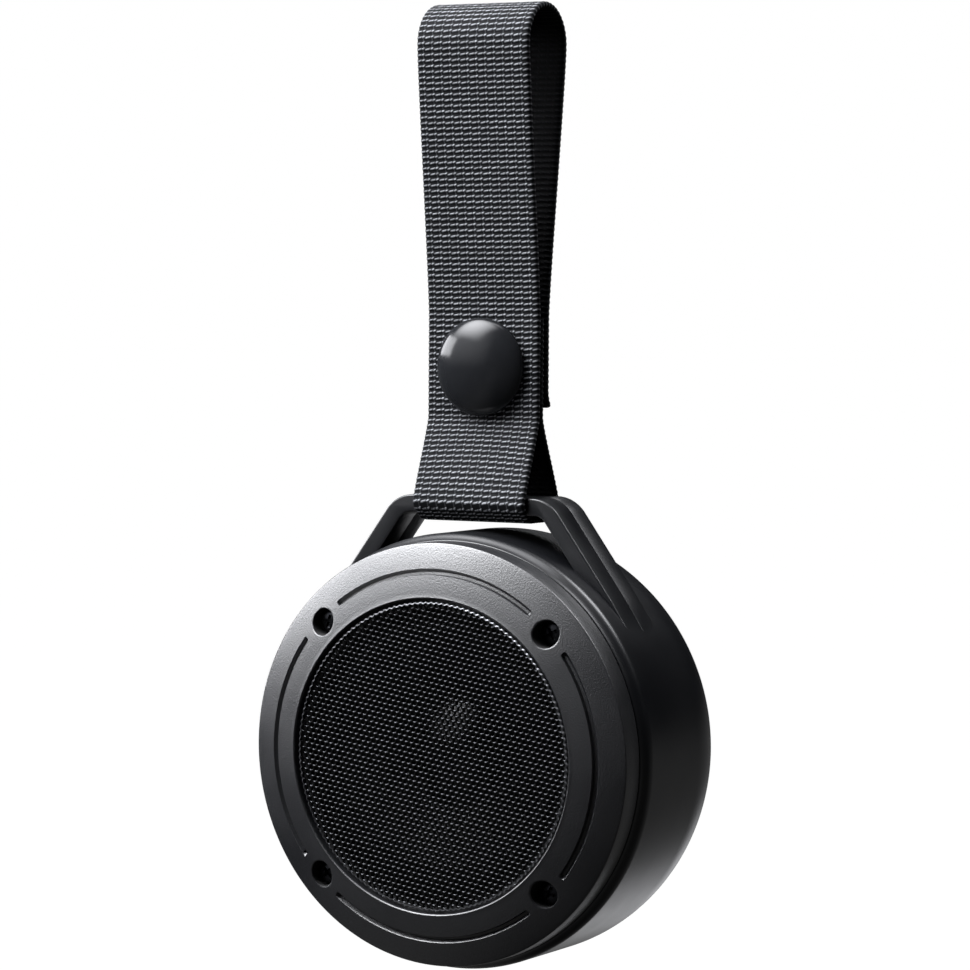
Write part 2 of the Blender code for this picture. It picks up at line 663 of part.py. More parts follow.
def make_bezel_screws(parent):
    head_back = screw_seat - SEAT_GAP
    head_front = head_back - SCREW_HEAD_HEIGHT
    profile = [(0, head_front), (SCREW_CROWN_RADIUS, head_front)]
    profile += [(SCREW_HEAD_RADIUS, head_front + SCREW_CROWN_HEIGHT)]
    profile += [(SCREW_HEAD_RADIUS, head_back), (SCREW_SHANK_RADIUS, head_back)]
    tip = screw_seat + SCREW_LENGTH
    profile += [(SCREW_SHANK_RADIUS, tip - SCREW_SHANK_RADIUS), (0, tip)]
    half = RECESS_WIDTH / 2
    arm = ((half, -half), (RECESS_REACH, -half), (RECESS_REACH, half))
    cross = []
    for turn in range(4):
        c, s = math.cos(turn * math.pi / 2), math.sin(turn * math.pi / 2)
        cross += [(u * c - v * s, u * s + v * c) for u, v in arm]
    for i, (x, z) in enumerate(screw_places()):
        screw = turned_object(f"bezel_screw_{i + 1}", profile, parent, COARSE, (x, 0, z))
        mouth, floor = head_front - RECESS_DEPTH, head_front + RECESS_DEPTH
        boolean(screw, prism_object(f"screw_recess_{i + 1}", cross, mouth, floor, parent, (x, 0, z)))
        steel(screw)


def make_grille(parent):
    back = grille_ledge - SEAT_GAP
    radius = opening_radius - RUN_GAP
    rim = arc((0, 0), radius, 0, math.tau * (FINE - 1) / FINE, FINE - 1)
    grille = prism_object("grille", rim, back - GRILLE_THICKNESS, back, parent)
    row_height = GRILLE_PITCH * math.sqrt(3) / 2
    hole_radius = (GRILLE_PITCH - GRILLE_BAR) / 2
    rows = int(radius / row_height)
    across, along = math.cos(GRILLE_ROW_SLOPE), math.sin(GRILLE_ROW_SLOPE)
    bm = bmesh.new()
    for row in range(-rows, rows + 1):
        for column in range(-rows, rows + 1):
            step, rise = (column + row % 2 / 2) * GRILLE_PITCH, row * row_height
            x, z = step * across - rise * along, step * along + rise * across
            if math.hypot(x, z) + hole_radius + LEDGE_WIDTH > radius:
                continue
            hole = arc((x, z), hole_radius, 0, math.tau * (1 - 1 / GRILLE_HOLE_SIDES), GRILLE_HOLE_SIDES - 1)
            add_prism(bm, hole, back - 2 * GRILLE_THICKNESS, back + GRILLE_THICKNESS)
    boolean(grille, make_object("grille_holes", bm, parent, smooth=False))
    finish(grille, (0.02, 0.02, 0.022), 0.4, 0.6)


def make_driver(parent, moving):
    """The loudspeaker. Its cone, dust cap and voice coil move together along Y."""
    flange_inside = driver_radius - FLANGE_WIDTH
    gasket = ring(flange_inside, driver_radius, driver_seat + SEAT_GAP, gasket_back)
    black_rubber(turned_object("driver_gasket", gasket, parent))

    ledge_front = basket_back - 3 * BASKET_SHEET
    cup_radius = COIL_RADIUS + COIL_CLEARANCE + CUP_WALL
    neck = cup_radius + SEAT_GAP
    slant_inside = spider_radius + SEAT_GAP
    tub = neck + 2 * BASKET_SHEET
    profile = [(driver_radius, flange_front), (flange_inside, flange_front), (slant_inside, ledge_front)]
    profile += [(tub, ledge_front), (tub, basket_back - BASKET_SHEET), (neck, basket_back - BASKET_SHEET)]
    profile += [(neck, basket_back), (tub + BASKET_SHEET, basket_back)]
    profile += [(tub + BASKET_SHEET, ledge_front + BASKET_SHEET)]
    profile += [(slant_inside + BASKET_SHEET / 2, ledge_front + BASKET_SHEET)]
    profile += [(flange_inside + BASKET_SHEET, flange_back), (driver_radius, flange_back)]
    basket = turned_object("driver_basket", profile, parent)
    bm = bmesh.new()
    low = slant_inside + BASKET_SHEET
    high = flange_inside - BASKET_SHEET
    for i in range(BASKET_WINDOWS):
        angle = math.tau * (i + 0.5) / BASKET_WINDOWS
        c, s = math.cos(angle), math.sin(angle)
        foot, half = BASKET_WINDOW_FOOT / 2, BASKET_WINDOW_WIDTH / 2
        window = ((low, -foot), (high, -half), (high, half), (low, foot))
        add_prism(bm, [(u * c - v * s, u * s + v * c) for u, v in window], flange_front, basket_back)
    boolean(basket, make_object("basket_windows", bm, parent, smooth=False))
    finish(basket, (0.03, 0.03, 0.03), 0.5, 0.8)

    outline = rectangle(TERMINAL_LENGTH, TERMINAL_HEIGHT, (0, terminal_rise))
    base = flange_back + SEAT_GAP
    strip = prism_object("terminal_strip", outline, base, base + TERMINAL_DEPTH, parent)
    finish(strip, (0.35, 0.2, 0.08), 0.6)

    cup_front = basket_back - BASKET_SHEET
    cup_inside = COIL_RADIUS + COIL_CLEARANCE
    cup_floor = cup_front + CUP_DEPTH - CUP_WALL
    shoulder = basket_back + SEAT_GAP
    profile = [(0, cup_floor), (cup_inside, cup_floor), (cup_inside, cup_front), (cup_radius, cup_front)]
    profile += [(cup_radius, shoulder), (cup_radius + CUP_SHOULDER, shoulder)]
    profile += [(cup_radius + CUP_SHOULDER, cup_floor + CUP_WALL), (0, cup_floor + CUP_WALL)]
    steel(turned_object("magnet_cup", profile, parent))
    magnet_back = cup_floor - SEAT_GAP
    pole_radius = COIL_RADIUS - COIL_WALL - COIL_CLEARANCE
    magnet_front = magnet_back - MAGNET_HEIGHT
    magnet = turned_object("magnet", disc(pole_radius, magnet_front, magnet_back), parent)
    finish(magnet, (0.3, 0.3, 0.31), 0.4, 0.9)
    pole_back = magnet_front - SEAT_GAP
    steel(turned_object("pole_disc", disc(pole_radius, pole_back - POLE_DISC_HEIGHT, pole_back), parent))

    cone_edge = surround_back - SURROUND_THICKNESS
    neck_radius = COIL_RADIUS + SEAT_GAP
    cone_neck = cone_edge + CONE_DEPTH
    profile = [(neck_radius, cone_neck - CONE_THICKNESS), (cone_radius, cone_edge)]
    profile += [(cone_radius, cone_edge + CONE_THICKNESS), (neck_radius, cone_neck)]
    finish(turned_object("cone", profile, moving), (0.015, 0.015, 0.015), 0.75)
    coil_front = cone_neck - 2 * CONE_THICKNESS
    coil = ring(COIL_RADIUS - COIL_WALL, COIL_RADIUS, coil_front, coil_front + COIL_LENGTH)
    finish(turned_object("voice_coil", coil, moving), (0.5, 0.22, 0.08), 0.4, 0.9)
    slope = CONE_DEPTH / (cone_radius - neck_radius)
    cap_foot = cone_neck - 2 * CONE_THICKNESS - slope * (DUST_CAP_RADIUS - neck_radius) - SEAT_GAP
    dome = (DUST_CAP_RADIUS**2 + DUST_CAP_HEIGHT**2) / (2 * DUST_CAP_HEIGHT)
    tilt = math.asin(DUST_CAP_RADIUS / dome)
    top = cap_foot - DUST_CAP_HEIGHT
    outside = arc((0, top + dome), dome, -math.pi / 2, -math.pi / 2 + tilt, 3)
    inside = arc((0, top + dome), dome - CONE_THICKNESS, -math.pi / 2 + tilt, -math.pi / 2, 3)
    outside[0] = (0, outside[0][1])
    inside[-1] = (0, inside[-1][1])
    finish(turned_object("dust_cap", outside + inside, moving), (0.02, 0.02, 0.02), 0.3)

    roll_inside = cone_radius + SEAT_GAP + SURROUND_ROLL / 3
    roll = roll_inside + SURROUND_ROLL
    front = surround_back - SURROUND_THICKNESS
    half_turn = arc((roll, front), SURROUND_ROLL, math.pi, math.tau, 4)
    half_back = arc((roll, surround_back), SURROUND_ROLL, math.tau, math.pi, 4)
    profile = [(cone_radius + SEAT_GAP, front)] + half_turn + [(driver_radius, front)]
    profile += [(driver_radius, surround_back)] + half_back + [(cone_radius + SEAT_GAP, surround_back)]
    black_rubber(turned_object("surround", profile, parent))

    inner = COIL_RADIUS + SEAT_GAP
    spider_back = ledge_front - SEAT_GAP
    fold = (spider_radius - inner) / SPIDER_FOLDS
    wave = [(inner + fold * i, (i % 2) * SPIDER_THICKNESS) for i in range(SPIDER_FOLDS + 1)]
    profile = [(r, spider_back - SPIDER_THICKNESS - lift) for r, lift in wave]
    profile += [(r, spider_back - lift) for r, lift in reversed(wave)]
    finish(turned_object("spider", profile, parent), (0.45, 0.32, 0.14), 0.8)


def make_electronics(parent):
    bm = bmesh.new()
    add_turned(bm, disc(board_radius, board_front, board_back), MEDIUM)
    board = make_object("main_board", bm, parent)
    bm = bmesh.new()
    for place in board_screw_places():
        cut = disc(BOARD_SCREW_SHANK + RUN_GAP, board_front - BOARD_THICKNESS, board_back + BOARD_THICKNESS)
        add_turned(bm, cut, LEAST, place)
    boolean(board, make_object("board_holes", bm, parent))
    finish(board, (0.01, 0.09, 0.04), 0.45)

    head_back = board_front - SEAT_GAP
    head_front = head_back - BOARD_SCREW_HEAD_HEIGHT
    tip = board_front + BOARD_SCREW_LENGTH
    profile = [(0, head_front), (BOARD_SCREW_HEAD, head_front), (BOARD_SCREW_HEAD, head_back)]
    profile += [(BOARD_SCREW_SHANK, head_back), (BOARD_SCREW_SHANK, tip), (0, tip)]
    for i, (x, z) in enumerate(board_screw_places()):
        steel(turned_object(f"board_screw_{i + 1}", profile, parent, LEAST, (x, 0, z)))

    for i, (x, z) in enumerate(key_places().values()):
        bm = bmesh.new()
        side = SWITCH_SIDE / 2
        plunger = SWITCH_PLUNGER_SIDE / 2
        base = board_back + SEAT_GAP
        top = base + SWITCH_HEIGHT
        levels = ((side, base), (side, top), (plunger, top), (plunger, switch_top))
        add_loft(bm, [[(-s, y, -s), (s, y, -s), (s, y, s), (-s, y, s)] for s, y in levels])
        finish(make_object(f"key_switch_{i + 1}", bm, parent, (x, 0, z), False), (0.05, 0.05, 0.05), 0.4)

    width, length, height = SOCKET_SIZE
    base = board_back + SEAT_GAP
    shell = rectangle(width, height, (0, -PORT_DROP), SOCKET_CORNER)
    socket = prism_object("charging_socket", shell, base, base + length, parent)
    walls = 2 * SOCKET_WALL
    hollow = rectangle(width - walls, height - walls, (0, -PORT_DROP), SOCKET_CORNER - SOCKET_WALL)
    boolean(socket, prism_object("socket_mouth", hollow, base + SOCKET_WALL, base + 2 * length, parent))
    steel(socket)

    width, depth, height = BATTERY_SIZE
    pad_front = board_front - SEAT_GAP - PAD_THICKNESS
    outline = rectangle(*PAD_SIZE, (0, -BATTERY_DROP))
    pad = prism_object("battery_pad", outline, pad_front, board_front - SEAT_GAP, parent)
    finish(pad, (0.1, 0.1, 0.1), 0.95)
    cell_back = pad_front - SEAT_GAP
    outline = rectangle(width, height, (0, -BATTERY_DROP), BATTERY_ROUND)
    cell = prism_object("battery_cell", outline, cell_back - depth, cell_back, parent)
    finish(cell, (0.62, 0.63, 0.65), 0.35, 0.7)

    width, depth, height = SHIELD_SIZE
    shield = rectangle(width, height, (0, SHIELD_RISE), SHIELD_CORNER)
    back = board_front - SEAT_GAP
    steel(prism_object("radio_shield", shield, back - depth, back, parent))

    x, z = on_circle(microphone_circle, MICROPHONE_ANGLE)
    front = driver_seat + SEAT_GAP
    capsule = disc(MICROPHONE_RADIUS, front, front + MICROPHONE_HEIGHT)
    steel(turned_object("microphone", capsule, parent, COARSE, (x, 0, z)))


def make_lead(name, points, colour, parent):
    """A wire along a smooth curve through hand-chosen points."""
    curve = bpy.data.curves.new(name, "CURVE")
    curve.dimensions = "3D"
    curve.bevel_depth = LEAD_RADIUS
    curve.bevel_resolution = 1
    curve.use_fill_caps = True
    ends = [2 * Vector(points[0]) - Vector(points[1])] + [Vector(p) for p in points]
    ends.append(2 * Vector(points[-1]) - Vector(points[-2]))
    path = []
    for a, b, c, d in zip(ends, ends[1:], ends[2:], ends[3:]):
        path += bezier(b, b + (c - a) / 6, c - (d - b) / 6, c, LEAD_STEPS)[:-1]
    path.append(ends[-2])
    spline = curve.splines.new("POLY")
    spline.points.add(len(path) - 1)
    for point, place in zip(spline.points, path):
        point.co = (*place, 1.0)
    lead = bpy.data.objects.new(name, curve)
    lead.parent = parent
    bpy.context.scene.collection.objects.link(lead)
    finish(lead, colour, 0.5)


def make_leads(parent):
    board = board_front - SEAT_GAP
    strip_back = flange_back + TERMINAL_DEPTH + 2 * SEAT_GAP
    red, black = (0.5, 0.01, 0.01), (0.02, 0.02, 0.02)
    for name, side, colour in (("speaker_lead_red", -1, red), ("speaker_lead_black", 1, black)):
        x = side * LEAD_SPACING / 2
        bow = terminal_rise + 2 * LEAD_SPACING / 3
        middle = (strip_back + board) / 2
        foot = SHIELD_RISE + SHIELD_SIZE[2] / 2 + 2 * LEAD_RADIUS + SEAT_GAP
        points = [(x, strip_back, terminal_rise), (x, strip_back + LEAD_SPACING, terminal_rise)]
        points += [(x, middle, bow), (x, board - LEAD_SPACING, foot + LEAD_RADIUS), (x, board, foot)]
        make_lead(name, points, colour, parent)

    cell_back = board - PAD_THICKNESS - SEAT_GAP
    cell_middle = cell_back - BATTERY_SIZE[1] / 2
    cell_top = -BATTERY_DROP + BATTERY_SIZE[2] / 2 + SEAT_GAP
    foot = cell_top + LEAD_SPACING
    for name, side, colour in (("battery_lead_red", -1, red), ("battery_lead_black", 1, black)):
        x = side * LEAD_SPACING / 2
        points = [(x, cell_middle, cell_top), (x, cell_middle, cell_top + LEAD_SPACING / 2)]
        points += [(x, board - 3 * LEAD_RADIUS, foot), (x, board, foot)]
        make_lead(name, points, colour, parent)

    x, z = on_circle(microphone_circle, MICROPHONE_ANGLE)
    inward = (board_radius - 3 * LEAD_RADIUS) / microphone_circle
    start = driver_seat + 2 * SEAT_GAP + MICROPHONE_HEIGHT
    points = [(x, start, z), (x, start + 2 * LEAD_SPACING, z), (x, board - 3 * LEAD_SPACING, z)]
    points += [(x * inward, board - LEAD_SPACING / 2, z * inward), (x * inward, board, z * inward)]
    make_lead("microphone_lead", points, black, parent)


def make_keys(parent):
    """Hard key caps in the rear dish, on a silicone mat that reaches the switches with its nubs."""
    top = DRUM_BACK - DISH_DEPTH + KEY_PROUD
    profile = [(0, panel_inside), (KEY_RADIUS, panel_inside), (KEY_RADIUS, top - KEY_CROWN)]
    profile += [(KEY_FLAT_RADIUS, top), (0, top)]
    for name, (x, z) in key_places().items():
        key = turned_object(name, profile, parent, KEY_SIDES, (x, 0, z))
        finish(key, (0.02, 0.02, 0.022), 0.5)

    bm = bmesh.new()
    add_turned(bm, disc(MAT_RADIUS, mat_front, mat_back), MEDIUM)
    mat = make_object("key_mat", bm, parent)
    bm = bmesh.new()
    for place in key_places().values():
        nub = disc(MAT_NUB_RADIUS, mat_front - MAT_NUB_LENGTH, mat_back - MAT_THICKNESS / 2)
        add_turned(bm, nub, LEAST, place)
    boolean(mat, make_object("mat_nubs", bm, parent), "UNION")
    black_rubber(mat)


def make_port_cover(parent):
    """A rubber flap with a plug, turned about a knuckle along its upper edge."""
    knuckle = COVER_THICKNESS / 2
    axis_y = DRUM_BACK - COVER_SUNK - knuckle
    axis_z = -PORT_DROP + COVER_HEIGHT / 2 - knuckle
    axis = make_empty("port_cover_axis", (0, axis_y, axis_z), parent)
    low = knuckle - COVER_HEIGHT
    outline = arc((0, 0), knuckle, 0, math.pi, 6) + [(-knuckle, low), (knuckle, low)]
    half = COVER_WIDTH / 2
    bm = bmesh.new()
    add_loft(bm, [[(x, y, z) for y, z in outline] for x in (-half, half)])
    cover = make_object("port_cover", bm, axis)
    width, height, depth = PORT_PLUG
    plug_middle = -PORT_DROP - axis_z
    plug = rectangle(width, height, (0, plug_middle), height / 3)
    bm = bmesh.new()
    add_prism(bm, plug, -knuckle - depth, 0)
    boolean(cover, make_object("port_plug", bm, axis), "UNION")
    bm = bmesh.new()
    corner = COVER_CORNER
    for side in (-1, 1):
        bite = [(half, low), (half, low + corner), (half - corner, low)]
        past = [(side * (x + corner / 3), z - corner / 3) for x, z in bite]
        add_prism(bm, past, -COVER_THICKNESS, COVER_THICKNESS)
    boolean(cover, make_object("cover_corners", bm, axis))
    black_rubber(cover)


def strap_rings(path, round_start=False):
    """Cross-sections of the webbing along a path of (y, z) points, with a rounded first end if asked."""
    points = [Vector(p) for p in path]
    half_width = STRAP_WIDTH / 2
    half = STRAP_THICKNESS / 2
    stations = []
    for i, point in enumerate(points):
        along = (points[min(i + 1, len(points) - 1)] - points[max(i - 1, 0)]).normalized()
        stations.append((point, Vector((-along.y, along.x)), half))
    if round_start:
        first, across, _ = stations[0]
        back = Vector((-across.y, across.x))
        tip = [(first + back * half * math.cos(a), across, half * math.sin(a)) for a in ROUND_END]
        stations = tip + stations
    rings = []
    for point, across, reach in stations:
        a, b = point + across * reach, point - across * reach
        rings.append([
            (-half_width, a.x, a.y), (half_width, a.x, a.y), (half_width, b.x, b.y), (-half_width, b.x, b.y)
        ])
    return rings


def layer_paths():
    """The webbing's middle line in (y, z), as the stretches between its bends."""
    low, high = snap_height - SNAP_FLAT, snap_height + SNAP_FLAT
    ease = (loop_centre - high) * LOOP_EASE
    rise = (low - turn_height) * BAR_EASE

    def upright(start, end, reach):
        """A path between two points that leaves and arrives upright."""
        lift = math.copysign(reach, end[1] - start[1])
        return bezier(start, (start[0], start[1] + lift), (end[0], end[1] - lift), end, STRAP_STEPS)

    front_up = upright((front_layer, high), (LOOP_SET_BACK - loop_middle_radius, loop_centre), ease)
    flap_down = upright((flap_hinge, loop_centre), (flap_layer, high), ease)
    front_down = upright((front_layer, low), (strap_front, turn_height), rise)
    back_up = upright((strap_back, turn_height), (middle_layer, low), rise)
    return front_up, flap_down, front_down, back_up


def split_at(path, height):
    """The parts of a path above and below a height, with a seat gap between them."""
    for (y0, z0), (y1, z1) in zip(path, path[1:]):
        if (z0 - height) * (z1 - height) <= 0:
            y = y0 + (y1 - y0) * (height - z0) / (z1 - z0)
            slope = (y1 - y0) / (z1 - z0)
            break
    over = (y + slope * SEAT_GAP, height + SEAT_GAP)
    under = (y - slope * SEAT_GAP, height - SEAT_GAP)
    above = [p for p in path if p[1] > over[1] + STRAP_THICKNESS / 4]
    below = [p for p in path if p[1] < under[1] - STRAP_THICKNESS / 4]
    if path[0][1] > path[-1][1]:
        return above + [over], [under] + below
    return [over] + above, below + [under]


def make_strap(strap_frame, flap_axis):
    front_up, flap_down, front_down, back_up = layer_paths()
    front_above, front_below = split_at(front_down, bend_height)
    back_above, back_below = split_at(back_up, bend_height)
    hole = disc(CAP_POST_RADIUS + RUN_GAP, cap_back, socket_front)

    end = math.atan2(STRAP_THICKNESS, loop_middle_radius)
    top = arc((LOOP_SET_BACK, loop_centre), loop_middle_radius, math.pi, end, STRAP_STEPS)
    path = list(reversed(front_above)) + front_up + top[1:]
    bm = bmesh.new()
    add_loft(bm, strap_rings(path))
    loop = make_object("strap_loop", bm, strap_frame)
    boolean(loop, turned_object("strap_loop_hole", hole, strap_frame, COARSE, (0, 0, snap_height)))
    webbing(loop)

    path = back_above + [(middle_layer, snap_height + TAB_ABOVE_SNAP)]
    bm = bmesh.new()
    add_loft(bm, strap_rings(path))
    tab = make_object("strap_end_tab", bm, strap_frame)
    boolean(tab, turned_object("strap_tab_hole", hole, strap_frame, COARSE, (0, 0, snap_height)))
    webbing(tab)

    under = arc((strap_front + BAR_TURN, turn_height), BAR_TURN, math.pi, 1.5 * math.pi, 6)
    under += arc((strap_back - BAR_TURN, turn_height), BAR_TURN, 1.5 * math.pi, math.tau, 6)
    bm = bmesh.new()
    add_loft(bm, strap_rings(front_below + under + back_below))
    webbing(make_object("strap_bar_loop", bm, strap_frame))

    path = flap_down + [(flap_layer, snap_height - FLAP_BELOW_SNAP)]
    path = [(y - flap_hinge, z - loop_centre) for y, z in path]
    bm = bmesh.new()
    add_loft(bm, strap_rings(path, round_start=True))
    flap = make_object("strap_flap", bm, flap_axis)
    drop = (0, -flap_hinge, snap_height - loop_centre)
    cut = disc(RIVET_SHANK_RADIUS + RUN_GAP, stud_front, rivet_front + RIVET_HEAD_HEIGHT)
    boolean(flap, turned_object("strap_flap_hole", cut, flap_axis, COARSE, drop))
    webbing(flap)


def make_snap(strap_frame, flap_axis):
    place = (0, 0, snap_height)
    dome = CAP_HEIGHT - CAP_RIM
    crown = (CAP_RADIUS**2 + dome**2) / (2 * dome)
    tilt = math.asin(CAP_RADIUS / crown)
    front = cap_back - CAP_HEIGHT
    profile = arc((0, front + crown), crown, -math.pi / 2, -math.pi / 2 + tilt, 4)
    profile[0] = (0, front)
    bore = CAP_POST_RADIUS - CAP_POST_WALL
    post_end = socket_front + SOCKET_PLATE
    profile += [(CAP_RADIUS, cap_back - CAP_RIM / 3), (CAP_RADIUS - CAP_RIM / 2, cap_back)]
    profile += [(CAP_POST_RADIUS, cap_back), (CAP_POST_RADIUS, post_end), (bore, post_end)]
    nipple_end = stud_front - STUD_NIPPLE
    profile += [(bore, nipple_end - RUN_GAP), (0, nipple_end - RUN_GAP)]
    finish(turned_object("snap_cap", profile, strap_frame, MEDIUM, place), (0.01, 0.01, 0.011), 0.22, 0.3)
    socket = ring(CAP_POST_RADIUS + SEAT_GAP, SOCKET_RADIUS, socket_front, post_end)
    steel(turned_object("snap_socket", socket, strap_frame, MEDIUM, place))

    drop = (0, -flap_hinge, snap_height - loop_centre)
    nipple = bore - RUN_GAP
    stud_back = stud_front + STUD_PLATE
    pin_end = nipple_end + STUD_NIPPLE / 2
    pin_hole = RIVET_PIN_RADIUS + SEAT_GAP
    profile = [(0, nipple_end), (nipple, nipple_end), (nipple, stud_front), (STUD_RADIUS, stud_front)]
    profile += [(STUD_RADIUS, stud_back), (pin_hole, stud_back)]
    profile += [(pin_hole, pin_end - SEAT_GAP), (0, pin_end - SEAT_GAP)]
    steel(turned_object("snap_stud", profile, flap_axis, MEDIUM, drop))
    head_back = rivet_front + RIVET_HEAD_HEIGHT
    shank_end = stud_back + SEAT_GAP
    profile = [(0, pin_end), (RIVET_PIN_RADIUS, pin_end), (RIVET_PIN_RADIUS, shank_end)]
    profile += [(RIVET_SHANK_RADIUS, shank_end), (RIVET_SHANK_RADIUS, rivet_front)]
    profile += [(RIVET_HEAD_RADIUS, rivet_front), (RIVET_CROWN_RADIUS, head_back), (0, head_back)]
    steel(turned_object("snap_rivet", profile, flap_axis, MEDIUM, drop))


def main():
    clear_scene()
    strap_frame = make_empty("strap_frame", (0, 0, -loop_top))
    flap_axis = make_empty("flap_axis", (0, flap_hinge, loop_centre), strap_frame)
    bend_axis = make_empty("bend_axis", (0, 0, bend_height), strap_frame)
    drum_frame = make_empty("drum_frame", (0, 0, -bend_height), bend_axis)
    cone_frame = make_empty("cone_frame", (0, 0, 0), drum_frame)
    make_housing(drum_frame)
    make_bezel(drum_frame)
    make_bezel_screws(drum_frame)
    make_grille(drum_frame)
    make_driver(drum_frame, cone_frame)
    make_electronics(drum_frame)
    make_leads(drum_frame)
    make_keys(drum_frame)
    make_port_cover(drum_frame)
    make_strap(strap_frame, flap_axis)
    make_snap(strap_frame, flap_axis)


main()
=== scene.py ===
import math

import bmesh
import bpy
from mathutils import Matrix, Vector


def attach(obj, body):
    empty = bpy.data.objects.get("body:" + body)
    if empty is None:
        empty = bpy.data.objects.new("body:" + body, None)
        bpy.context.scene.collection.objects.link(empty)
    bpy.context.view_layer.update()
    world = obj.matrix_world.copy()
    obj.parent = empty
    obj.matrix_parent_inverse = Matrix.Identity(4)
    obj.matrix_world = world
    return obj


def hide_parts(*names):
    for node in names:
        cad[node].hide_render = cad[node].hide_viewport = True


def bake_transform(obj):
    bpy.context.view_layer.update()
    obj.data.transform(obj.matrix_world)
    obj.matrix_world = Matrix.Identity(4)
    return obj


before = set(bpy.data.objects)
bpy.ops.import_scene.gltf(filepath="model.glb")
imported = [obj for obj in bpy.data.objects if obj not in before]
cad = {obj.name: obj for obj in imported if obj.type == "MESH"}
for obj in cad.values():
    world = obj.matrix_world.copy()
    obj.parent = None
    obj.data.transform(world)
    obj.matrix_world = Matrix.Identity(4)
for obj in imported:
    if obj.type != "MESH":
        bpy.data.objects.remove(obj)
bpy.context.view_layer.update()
scene = bpy.context.scene
axisHeight = -144.6  # drum's axis below the inside of the loop's top, in mm
toRow = Matrix.Translation((0, 0, axisHeight * 0.001)) @ Matrix.Scale(0.001, 4)  # from mm about that axis
print("frame loaded,", len(cad), "nodes")


def hexColour(code):
    parts = [int(code[i:i + 2], 16) / 255 for i in (0, 2, 4)]
    linear = [p / 12.92 if p <= 0.04045 else ((p + 0.055) / 1.055) ** 2.4 for p in parts]
    return (*linear, 1.0)


def addObject(name, data):
    made = bpy.data.objects.new(name, data)
    scene.collection.objects.link(made)
    return made


def addNode(tree, kind, inputs=(), **settings):  # inputs in order or by name; a node gives its first output
    node = tree.nodes.new(kind)
    for name, value in settings.items():
        setattr(node, name, value)
    for key, value in inputs.items() if isinstance(inputs, dict) else enumerate(inputs):
        if isinstance(value, bpy.types.Node):
            value = value.outputs[0]
        if isinstance(value, bpy.types.NodeSocket):
            tree.links.new(value, node.inputs[key])
        else:
            node.inputs[key].default_value = value
    return node


def newMaterial(name, colour, roughness, metallic=0.0, specular=0.5):
    material = bpy.data.materials.new(name)
    material.use_nodes = True
    shader = material.node_tree.nodes["Principled BSDF"]
    shader.inputs["Base Color"].default_value = hexColour(colour)
    shader.inputs["Roughness"].default_value = roughness
    shader.inputs["Metallic"].default_value = metallic
    shader.inputs["Specular IOR Level"].default_value = specular
    return material, material.node_tree, shader


patchWidth = 14.3  # mm, slow patches in which a surface is a little duller


def grainy(name, colours, roughness, grain, depth, metallic=0.0, specular=0.5):
    # the grain, its width and depth in mm, moves the colour and the normal, and the patches the roughness
    material, tree, shader = newMaterial(name, colours[0], roughness[0], metallic, specular)
    place = addNode(tree, "ShaderNodeTexCoord").outputs["Object"]
    fine = addNode(tree, "ShaderNodeTexNoise", {"Vector": place, "Scale": 1000 / grain, "Detail": 2.0})
    patches = addNode(tree, "ShaderNodeTexNoise", {
        "Vector": place, "Scale": 1000 / patchWidth, "Detail": 3.0})
    spread = addNode(tree, "ShaderNodeMapRange", [patches, 0.3, 0.7, *roughness])
    tint = addNode(tree, "ShaderNodeMix", {
        0: fine, 6: hexColour(colours[0]), 7: hexColour(colours[1])}, data_type="RGBA")
    bump = addNode(tree, "ShaderNodeBump", {"Height": fine, "Strength": 1.0, "Distance": depth * 0.001})
    tree.links.new(spread.outputs[0], shader.inputs["Roughness"])
    tree.links.new(tint.outputs[2], shader.inputs["Base Color"])
    tree.links.new(bump.outputs[0], shader.inputs["Normal"])
    return material


# camera: fitted to the bezel's rings, the strap's edges and the drum's outline in the photograph
cameraFit = {"yaw": 29.316, "elevation": 2.859, "roll": 0.391, "distance": 0.72, "sensor": 36,
             "focal": 3788.46, "frame": 970,  # both in pixels
             "target": (0.012107, -0.0218, -0.09188)}
yaw, tilt, roll = (math.radians(cameraFit[k]) for k in ("yaw", "elevation", "roll"))
backward = Vector((math.sin(yaw) * math.cos(tilt), -math.cos(yaw) * math.cos(tilt), math.sin(tilt)))
level = Vector((math.cos(yaw), math.sin(yaw), 0))
upright = backward.cross(level)
across = level * math.cos(roll) + upright * math.sin(roll)
up = upright * math.cos(roll) - level * math.sin(roll)
cameraData = bpy.data.cameras.new("photoCamera")
cameraData.sensor_width = cameraFit["sensor"]
cameraData.lens = cameraFit["focal"] / cameraFit["frame"] * cameraFit["sensor"]
cameraData.clip_end = 50
camera = addObject("photoCamera", cameraData)
turn = Matrix((across, up, backward)).transposed().to_4x4()
camera.matrix_world = Matrix.Translation(
    Vector(cameraFit["target"]) + backward * cameraFit["distance"]) @ turn
scene.camera = camera
scene.view_settings.view_transform = "Standard"


def arcPoints(centre, radius, start, end, steps):
    turns = [start + (end - start) * i / steps for i in range(steps + 1)]
    return [(centre[0] + radius * math.cos(t), centre[1] + radius * math.sin(t)) for t in turns]


def curvePoints(a, b, c, d, steps):
    points = []
    for i in range(steps + 1):
        t = i / steps
        weights = ((1 - t)**3, 3 * t * (1 - t)**2, 3 * t * t * (1 - t), t**3)
        points.append(tuple(sum(w * p for w, p in zip(weights, row)) for row in zip(a, b, c, d)))
    return points


def roundedBox(width, height, corner, at=(0, 0), steps=6):  # starts at its upper right corner
    points = []
    for i, (sx, sz) in enumerate(((1, 1), (-1, 1), (-1, -1), (1, -1))):
        centre = (at[0] + sx * (width / 2 - corner), at[1] + sz * (height / 2 - corner))
        points += arcPoints(centre, corner, i * math.pi / 2, (i + 1) * math.pi / 2, steps)
    return points


